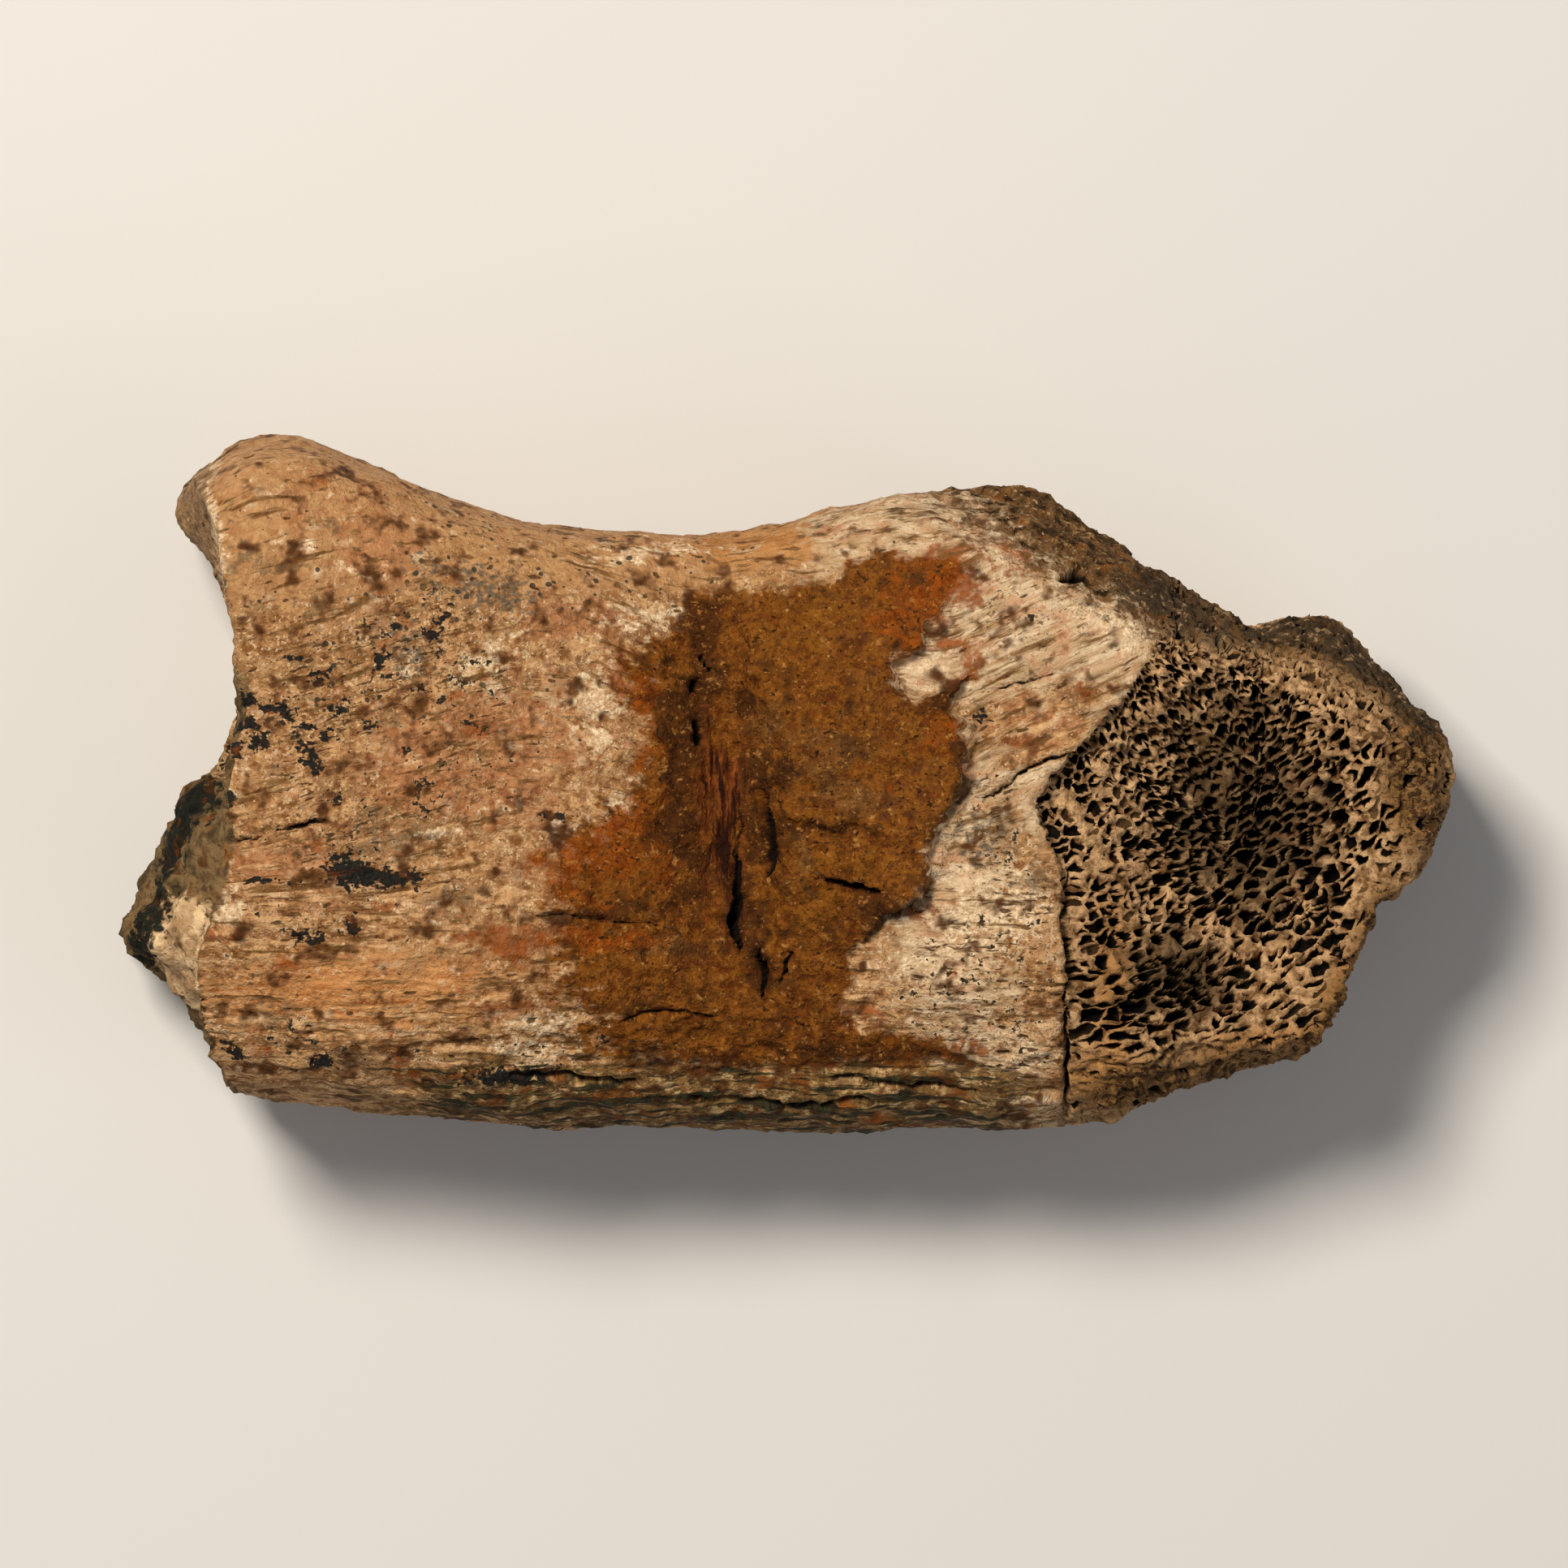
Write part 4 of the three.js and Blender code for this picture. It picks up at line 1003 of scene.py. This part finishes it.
both = {0: 0.5, 2: masks["small_c"], 3: masks["streak_c"]}
wander = add(tree, "ShaderNodeMix", 0, both, data_type="FLOAT")
wander = add(tree, "ShaderNodeMath", inputs={0: wander, 1: 0.5}, operation="SUBTRACT")
wander = {0: wander, 1: masks["soft"], 2: masks["crust"]}
masks["crust"] = add(tree, "ShaderNodeMath", inputs=wander, operation="MULTIPLY_ADD")
for name in ("crust", "soil"):          # 0 on it and -1 off it, so that a noise added shows on it alone
    on_or_off = {"Value": masks[name], 1: 0, 2: 0.6, 3: -1, 4: 0}
    masks["on_" + name] = add(tree, "ShaderNodeMapRange", inputs=on_or_off)

SPECK_CELL = 0.6                        # mm
dot = add(tree, "ShaderNodeTexVoronoi", "Distance", {"Vector": masks["place"], "Scale": 1 / SPECK_CELL})
chances = add(tree, "ShaderNodeSeparateXYZ", inputs={0: dot.node.outputs["Color"]}).node.outputs
specks = add(tree, "ShaderNodeMath", inputs={0: dot, 1: -1.6, 2: chances[0]}, operation="MULTIPLY_ADD")
for name, more in (("speckle", 0.55), ("pale", -0.3)):
    specks = {0: masks[name], 1: more, 2: specks}
    specks = add(tree, "ShaderNodeMath", inputs=specks, operation="MULTIPLY_ADD")
masks["specks"] = specks
# painted glints: near-white dots on the crust stand for tiny highlights on its grains
painted_glints = add(tree, "ShaderNodeMath", inputs={0: dot, 1: -2.4, 2: chances[1]}, operation="MULTIPLY_ADD")
masks["painted_glints"] = add(tree, "ShaderNodeMath", inputs={0: painted_glints, 1: masks["on_crust"]}, operation="ADD")
print("masks:", len(masks))

# %% [markdown]
# ## The list of layers
# Each line is a layer: its map, the two values of the map between which it fades in, the noise at its edge
# and how strong that is, its dark and light colour and the noise that brings in the light one, its share
# and, for a few, a roughness. A layer without one leaves the gloss of what lies below. The order matters:
# stains of the bone come first, then what covers it, and the deep places last.

# %% Layers of the hard bone
LAYERS = [
    ("everywhere", 0, 0.3, "mid_b", 1, "#87582e", "#c4915c", "small_b", 0.6),
    ("everywhere", 0.2, 0.5, "mid_c", 1, "#7a5f42", "#b8966c", "small_b", 0.5),
    ("everywhere", 0.25, 0.6, "mid_a", 1, "#91532c", "#c8895c", "small_c", 0.45),
    ("everywhere", 0.5, 0.8, "small_b", 1, "#5c3e22", "#8a6038", "fine_b", 0.5),
    ("everywhere", 0.35, 0.55, "small_c", 1, "#cfa677", "#e8c89e", "fine_a", 0.7),
    ("everywhere", 0.5, 0.7, "fine_a", 1, "#4c3117", "#7d5733", "small_a", 0.65),
    ("everywhere", 0.45, 0.65, "fine_b", 1, "#d6b182", "#efd4aa", "small_b", 0.55),
    ("smooth", 0.2, 0.7, "mid_a", 0.2, "#a87648", "#c49664", "small_c", 0.85, 0.6),
    # partly painted shade: the facet left of the lobe line tilts away from the light
    ("lobe_end", -0.2, 0.3, "small_a", 0.5, "#72573a", "#a6835a", "small_b", 0.9),
    ("pink", 0.3, 0.9, "mid_b", 1, "#8a5030", "#d2925e", "small_b", 0.55),
    ("saddle", 0.3, 0.8, "mid_c", 0.4, "#a0662c", "#d39a60", "streak_a", 0.85),
    ("low_orange", 0.2, 0.8, "mid_c", 0.5, "#a8642c", "#e0a468", "streak_b", 0.9),
    ("rim_line", -0.25, 0.05, "small_a", 0.5, "#c49a68", "#f2dcb8", "fine_a", 0.9),
    ("fibre", 1.1, 1.4, "streak_a", 1, "#4d280b", "#8c5a2e", "streak_b", 0.7),
    ("fibre", 1.05, 1.4, "streak_c", 1, "#c4935f", "#e0b686", "small_b", 0.75),
    ("pale", 0.3, 0.9, "mid_a", 0.7, "#b08c62", "#e2c6a0", "streak_b", 0.9),
    ("pale", 1.0, 1.5, "mid_c", 1, "#b8845c", "#d8a680", "small_a", 0.6),
    ("pale", 1.4, 1.6, "dash_c", 1, "#503619", "#8e6c46", "small_b", 0.75),
    ("pale", 1.15, 1.55, "streak_c", 1, "#d4b890", "#f0dab8", "fine_b", 0.6),
    ("cream", 0.4, 1.0, "small_b", 1, "#caa478", "#f4dab4", "fine_a", 0.85),
    ("amber", 0.4, 0.9, "small_b", 0.5, "#7d4818", "#c08548", "streak_a", 0.8),
    ("rust", 0.4, 1.0, "small_c", 0.8, "#6a2e0c", "#a85c28", "small_a", 0.78),
    ("dusk", 0.6, 1.2, "small_a", 1, "#4a3822", "#8a7050", "fine_b", 0.6),
    ("slate", 0.65, 1.2, "blot_a", 1, "#2e2e2a", "#7e715c", "fine_b", 0.7),
    ("dashes", 1.4, 1.6, "dash_a", 1, "#241a0e", "#5d4226", "small_b", 0.85),
    ("dashes", 1.45, 1.55, "small_b", 1, "#0d0d0b", "#2e281c", "fine_a", 0.95),
    ("dashes", 1.4, 1.6, "blot_b", 1, "#5e4324", "#7a5836", "fine_a", 0.7),
    ("specks", 0.92, 1.06, "mid_a", 0.5, "#1a1b18", "#4e4130", "small_a", 0.85),
    # the lower side: dark streaks, partly stain and partly painted shade of the underside turning from the
    # light
    ("bottom", 0.3, 0.9, "streak_a", 1.2, "#3e2a10", "#94703e", "small_c", 0.9),
    ("bottom", 1.05, 1.4, "small_b", 1, "#a07844", "#dcba84", "dash_b", 0.8),
    ("bottom", 1.15, 1.5, "mid_c", 1, "#5c2e0a", "#8e5420", "streak_c", 0.8),
    ("bottom", 0.95, 1.3, "streak_b", 1.1, "#080a06", "#3c3a22", "small_a", 0.93),
    # partly painted shade: the left break's brown is darker because the chunk lies lower, in shadow
    ("broken_left", 0.3, 0.7, "small_a", 0.2, "#4a3b24", "#90724a", "mid_b", 1, 0.85),
    ("broken_left", 1.3, 1.8, "small_c", 1, "#2a2012", "#54422a", "small_b", 0.7),
    ("broken_left", 1.3, 1.8, "mid_c", 1, "#6e4a24", "#a87c4c", "small_a", 0.7),
    ("facet", -0.6, 0, "small_a", 1.1, "#b08a60", "#ecca9c", "mid_a", 0.92),
    ("slots", 0.3, 0.7, "fine_a", 0.1, "#2e1d0e", "#6a4a2a", "small_b", 0.85),
    ("stripe", -0.6, -0.1, "small_b", 1.1, "#030605", "#1d2018", "small_c", 0.95),
    ("manganese", 0.5, 0.65, "blot_c", 0.6, "#060708", "#24241f", "fine_a", 0.97, 0.65),
]
print("layers of the hard bone:", len(LAYERS))

# %% [markdown]
# The crust is sand and clay, cemented by iron minerals, so it is brown with ochre and nearly black grains.
# The soil on the shoulder is darker and looser. Both hide the bone under them.

# %% Layers of the crust and the soil
LAYERS += [
    ("crust", 0.1, 0.7, "mid_a", 0.6, "#582a02", "#8a5214", "small_a", 0.97, 0.9),
    ("on_crust", 0.3, 0.7, "mid_c", 1, "#43200a", "#6a3a0e", "small_b", 0.75),
    ("on_crust", 0.5, 0.9, "mid_b", 1, "#8a5216", "#ae7430", "small_c", 0.5),
    ("ochre", 0.4, 1.1, "mid_b", 0.9, "#683a08", "#9a621c", "small_b", 0.55),
    ("grey_crust", 0.35, 1.1, "mid_b", 0.8, "#5c3a18", "#8c6234", "small_c", 0.65),
    ("burnt", 0.4, 1.1, "mid_c", 0.8, "#682a00", "#a2520e", "small_b", 0.7),
    # partly painted shade: dark umber darkens the hollow's left side, the slits' surroundings and the ledges
    ("umber_and_shade", 0.2, 0.8, "mid_b", 0.9, "#220f02", "#583010", "small_c", 0.82),
    ("on_crust", 0.45, 0.75, "fine_a", 1, "#8a5724", "#b27f40", "fine_b", 0.35),
    ("on_crust", 0.3, 0.6, "fine_c", 1, "#2c1400", "#4e2a06", "fine_b", 0.4),
    ("on_crust", 0.35, 0.65, "small_a", 1, "#391b04", "#5e340e", "fine_b", 0.75),
    ("on_crust", 0.5, 0.75, "small_c", 1, "#8c5a24", "#bb8546", "fine_b", 0.6),
    ("on_crust", 0.5, 0.75, "blot_a", 1, "#140a04", "#3a2009", "fine_a", 0.8),
    ("on_crust", 0.6, 0.85, "blot_b", 1, "#9a6226", "#c0904c", "fine_a", 0.5),
    ("soil", -0.8, 1.2, "small_b", 2.4, "#36240e", "#785430", "small_c", 0.97, 0.95),
    ("on_soil", 0.2, 0.6, "mid_c", 1, "#6c3c12", "#98602a", "small_a", 0.65),
    ("on_soil", 0.3, 0.6, "small_a", 1, "#86643a", "#c09a6c", "fine_a", 0.7),
    ("on_soil", 0.15, 0.45, "small_b", 1, "#150d04", "#33230e", "fine_a", 0.85),
    ("on_soil", 0.5, 0.7, "fine_a", 1, "#9c7a4c", "#cfae80", "fine_b", 0.55),
]
print("layers up to the soil:", len(LAYERS))

# %% [markdown]
# The struts of the spongy bone are tan, and the open pores between them are painted almost black, as shade,
# because little light comes out again. Deep slits are painted dark too, as shade, with iron-red walls, and
# the deep middle of the bowl gets painted shade. A few mineral grains get painted glints: near-white dots in
# their colour.

# %% Layers of the spongy end and the slits
LAYERS += [
    ("sponge", -0.5, 0.4, "small_b", 0.8, "#6e4c2a", "#d2a878", "small_a", 1, 0.85),
    ("amber_rim", 0.4, 1.0, "small_a", 0.6, "#7d4d1e", "#cb9355", "small_b", 0.65),
    ("rim", 0.3, 0.8, "small_a", 0.4, "#3f280c", "#a87a44", "small_c", 0.75),
    ("rim", 0.9, 1.2, "blot_a", 1, "#1c1007", "#4a3018", "fine_a", 0.8),
    # partly painted shade: the upper right rim is darker where it turns from the light; light flecks lie on
    # it
    ("dark_rim", 0.3, 0.8, "small_a", 0.5, "#18120a", "#52402a", "small_b", 0.9),
    ("dark_rim", 1.1, 1.35, "small_c", 1, "#836343", "#b09068", "fine_b", 0.85),
    # painted shade: the deep middle of the bowl is darkened
    ("bowl", 0.4, 0.95, "mid_b", 0.3, "#180d04", "#644a2c", "small_c", 0.85),
    ("in_cell", 0.2, 0.8, "fine_a", 0, "#2c1b0c", "#785631", "small_a", 0.8),
    ("in_hole", 0.15, 0.7, "fine_a", 0, "#010100", "#0d0703", "small_a", 0.98),
    # the hollow's wall: iron-red fibres, darkened in streaks partly as painted shade between them
    ("slit_wall", 0.3, 1.1, "streak_a", 0.7, "#401502", "#8a4818", "dash_b", 0.9),
    ("slit_wall", 0.9, 1.3, "streak_c", 1, "#120602", "#2e1306", "fine_a", 0.9),
    # painted shade: the inside of each slit is nearly black
    ("slit", -0.1, 0.02, "small_c", 0.1, "#050201", "#180c04", "small_a", 0.97),
    # painted highlight: glints of mineral grains, painted as near-white dots
    ("painted_glints", 0.9, 0.95, "fine_c", 0, "#c8bca8", "#f0eae0", "small_a", 0.8, 0.3),
]
print("layers:", len(LAYERS))

# %% [markdown]
# ## Mix the layers
# One loop lays them down. The dark colour goes on first, as far as the map says, and the light colour goes
# over it where the tone noise is high too. Rough stone scatters light widely: the roughness is high, and
# the few glints are faint. A last fine bump is grit too small for the mesh, and it takes off any polish.

# %% Stack the layers
BARE_DARK, BARE_LIGHT, BARE_ROUGHNESS = "#7d5029", "#c99a68", 0.75
GRIT, GRIT_HEIGHT = 0.45, 0.35          # mm
STONE_IOR, GLINTS = 1.5, 0.12           # as most minerals have, and a low specular level for a matt stone
bare = {0: masks["small_a"], 6: linear(BARE_DARK), 7: linear(BARE_LIGHT)}
colour = add(tree, "ShaderNodeMix", 2, bare, data_type="RGBA")
roughness = BARE_ROUGHNESS
for name, start, stop, edge, strength, dark, light, tone, share, *own_roughness in LAYERS:
    mask = masks[name] if name in masks else read_maps(tree, [name])[name]
    if strength:
        ragged = {0: masks[edge], 1: strength, 2: mask}
        mask = add(tree, "ShaderNodeMath", inputs=ragged, operation="MULTIPLY_ADD")
    start, stop = start + strength / 2, stop + strength / 2
    mask = add(tree, "ShaderNodeMapRange", inputs={"Value": mask, 1: start, 2: stop, 4: share})
    lit = add(tree, "ShaderNodeMath", inputs={0: mask, 1: masks[tone]}, operation="MULTIPLY")
    colour = add(tree, "ShaderNodeMix", 2, {0: mask, 6: colour, 7: linear(dark)}, data_type="RGBA")
    colour = add(tree, "ShaderNodeMix", 2, {0: lit, 6: colour, 7: linear(light)}, data_type="RGBA")
    if own_roughness:
        duller = {0: mask, 2: roughness, 3: own_roughness[0]}
        roughness = add(tree, "ShaderNodeMix", 0, duller, data_type="FLOAT")

grit = {"Vector": masks["place"], "Scale": 1 / GRIT, "Detail": 3.0, "Roughness": 0.7}
grit = add(tree, "ShaderNodeTexNoise", "Fac", grit)
bump = add(tree, "ShaderNodeBump", inputs={"Height": grit, "Distance": GRIT_HEIGHT * MM, "Strength": 1})
shader = add(tree, "ShaderNodeBsdfPrincipled", inputs={
    "Base Color": colour, "Roughness": roughness, "Normal": bump, "IOR": STONE_IOR,
    "Specular IOR Level": GLINTS,
})
output = tree.nodes.new("ShaderNodeOutputMaterial")
tree.links.new(shader, output.inputs["Surface"])
bone.data.materials.append(stone)
print("nodes:", len(tree.nodes))

# %% [markdown]
# ## The table and the light
# The stone lies on a plain, pale board, cut from matt card that scatters light evenly. A large lamp at the
# upper left is the key light: it is soft, so pore walls shade off gently. A wide, faint lamp at the right
# and the pale surroundings fill the shadows.

# %% Floor and light
BOARD = 0.6                             # m, half its width
board_corners = [(-BOARD, -BOARD, 0), (BOARD, -BOARD, 0), (BOARD, BOARD, 0), (-BOARD, BOARD, 0)]
board_mesh = bpy.data.meshes.new("pale_board")
board_mesh.from_pydata(board_corners, [], [(0, 1, 2, 3)])
board = bpy.data.objects.new("pale_board", board_mesh)
bpy.context.scene.collection.objects.link(board)
card = bpy.data.materials.new("pale_matt_board")
card.use_nodes = True
card_shader = card.node_tree.nodes["Principled BSDF"]
card_shader.inputs["Base Color"].default_value = linear("#d9d6d0")
card_shader.inputs["Roughness"].default_value = 0.9
board_mesh.materials.append(card)
board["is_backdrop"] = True

AIM = Vector((0, 0, 0.01))              # m, a point inside the bone
ROOM_LIGHT = 0.22                       # strength of the light from all round
LIGHTS = {                              # place in m, width in m, power in W, colour
    "key_light": ((-0.22, 0.28, 0.64), 0.2, 5.7, "#fff8ee"),
    "fill_light": ((0.5, -0.3, 0.5), 0.5, 0.8, "#eef4ff"),
}
for name, (place, width, power, hex_colour) in LIGHTS.items():
    light_data = bpy.data.lights.new(name, "AREA")
    light_data.size = width
    light_data.energy = power
    light_data.color = linear(hex_colour)[:3]
    light = bpy.data.objects.new(name, light_data)
    light.location = place
    light.rotation_euler = (AIM - Vector(place)).to_track_quat("-Z", "Y").to_euler()
    bpy.context.scene.collection.objects.link(light)

world = bpy.data.worlds.new("pale_room")
world.use_nodes = True
world.node_tree.nodes["Background"].inputs["Color"].default_value = linear("#e8e8ea")
world.node_tree.nodes["Background"].inputs["Strength"].default_value = ROOM_LIGHT
bpy.context.scene.world = world
bpy.context.scene.view_settings.view_transform = "Standard"
print("lamps:", ", ".join(LIGHTS))

# %% [markdown]
# ## The size at the end
# The last cell puts the frame's box and the finished mesh's box side by side and prints the mesh's size.

# %% Measure and finish
size = {"cad": [list(cad_low), list(cad_high)], "visual": [list(corner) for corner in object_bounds()]}
print("visual size in mm:", (np.subtract(*size["visual"][::-1]) * 1000).round(2))
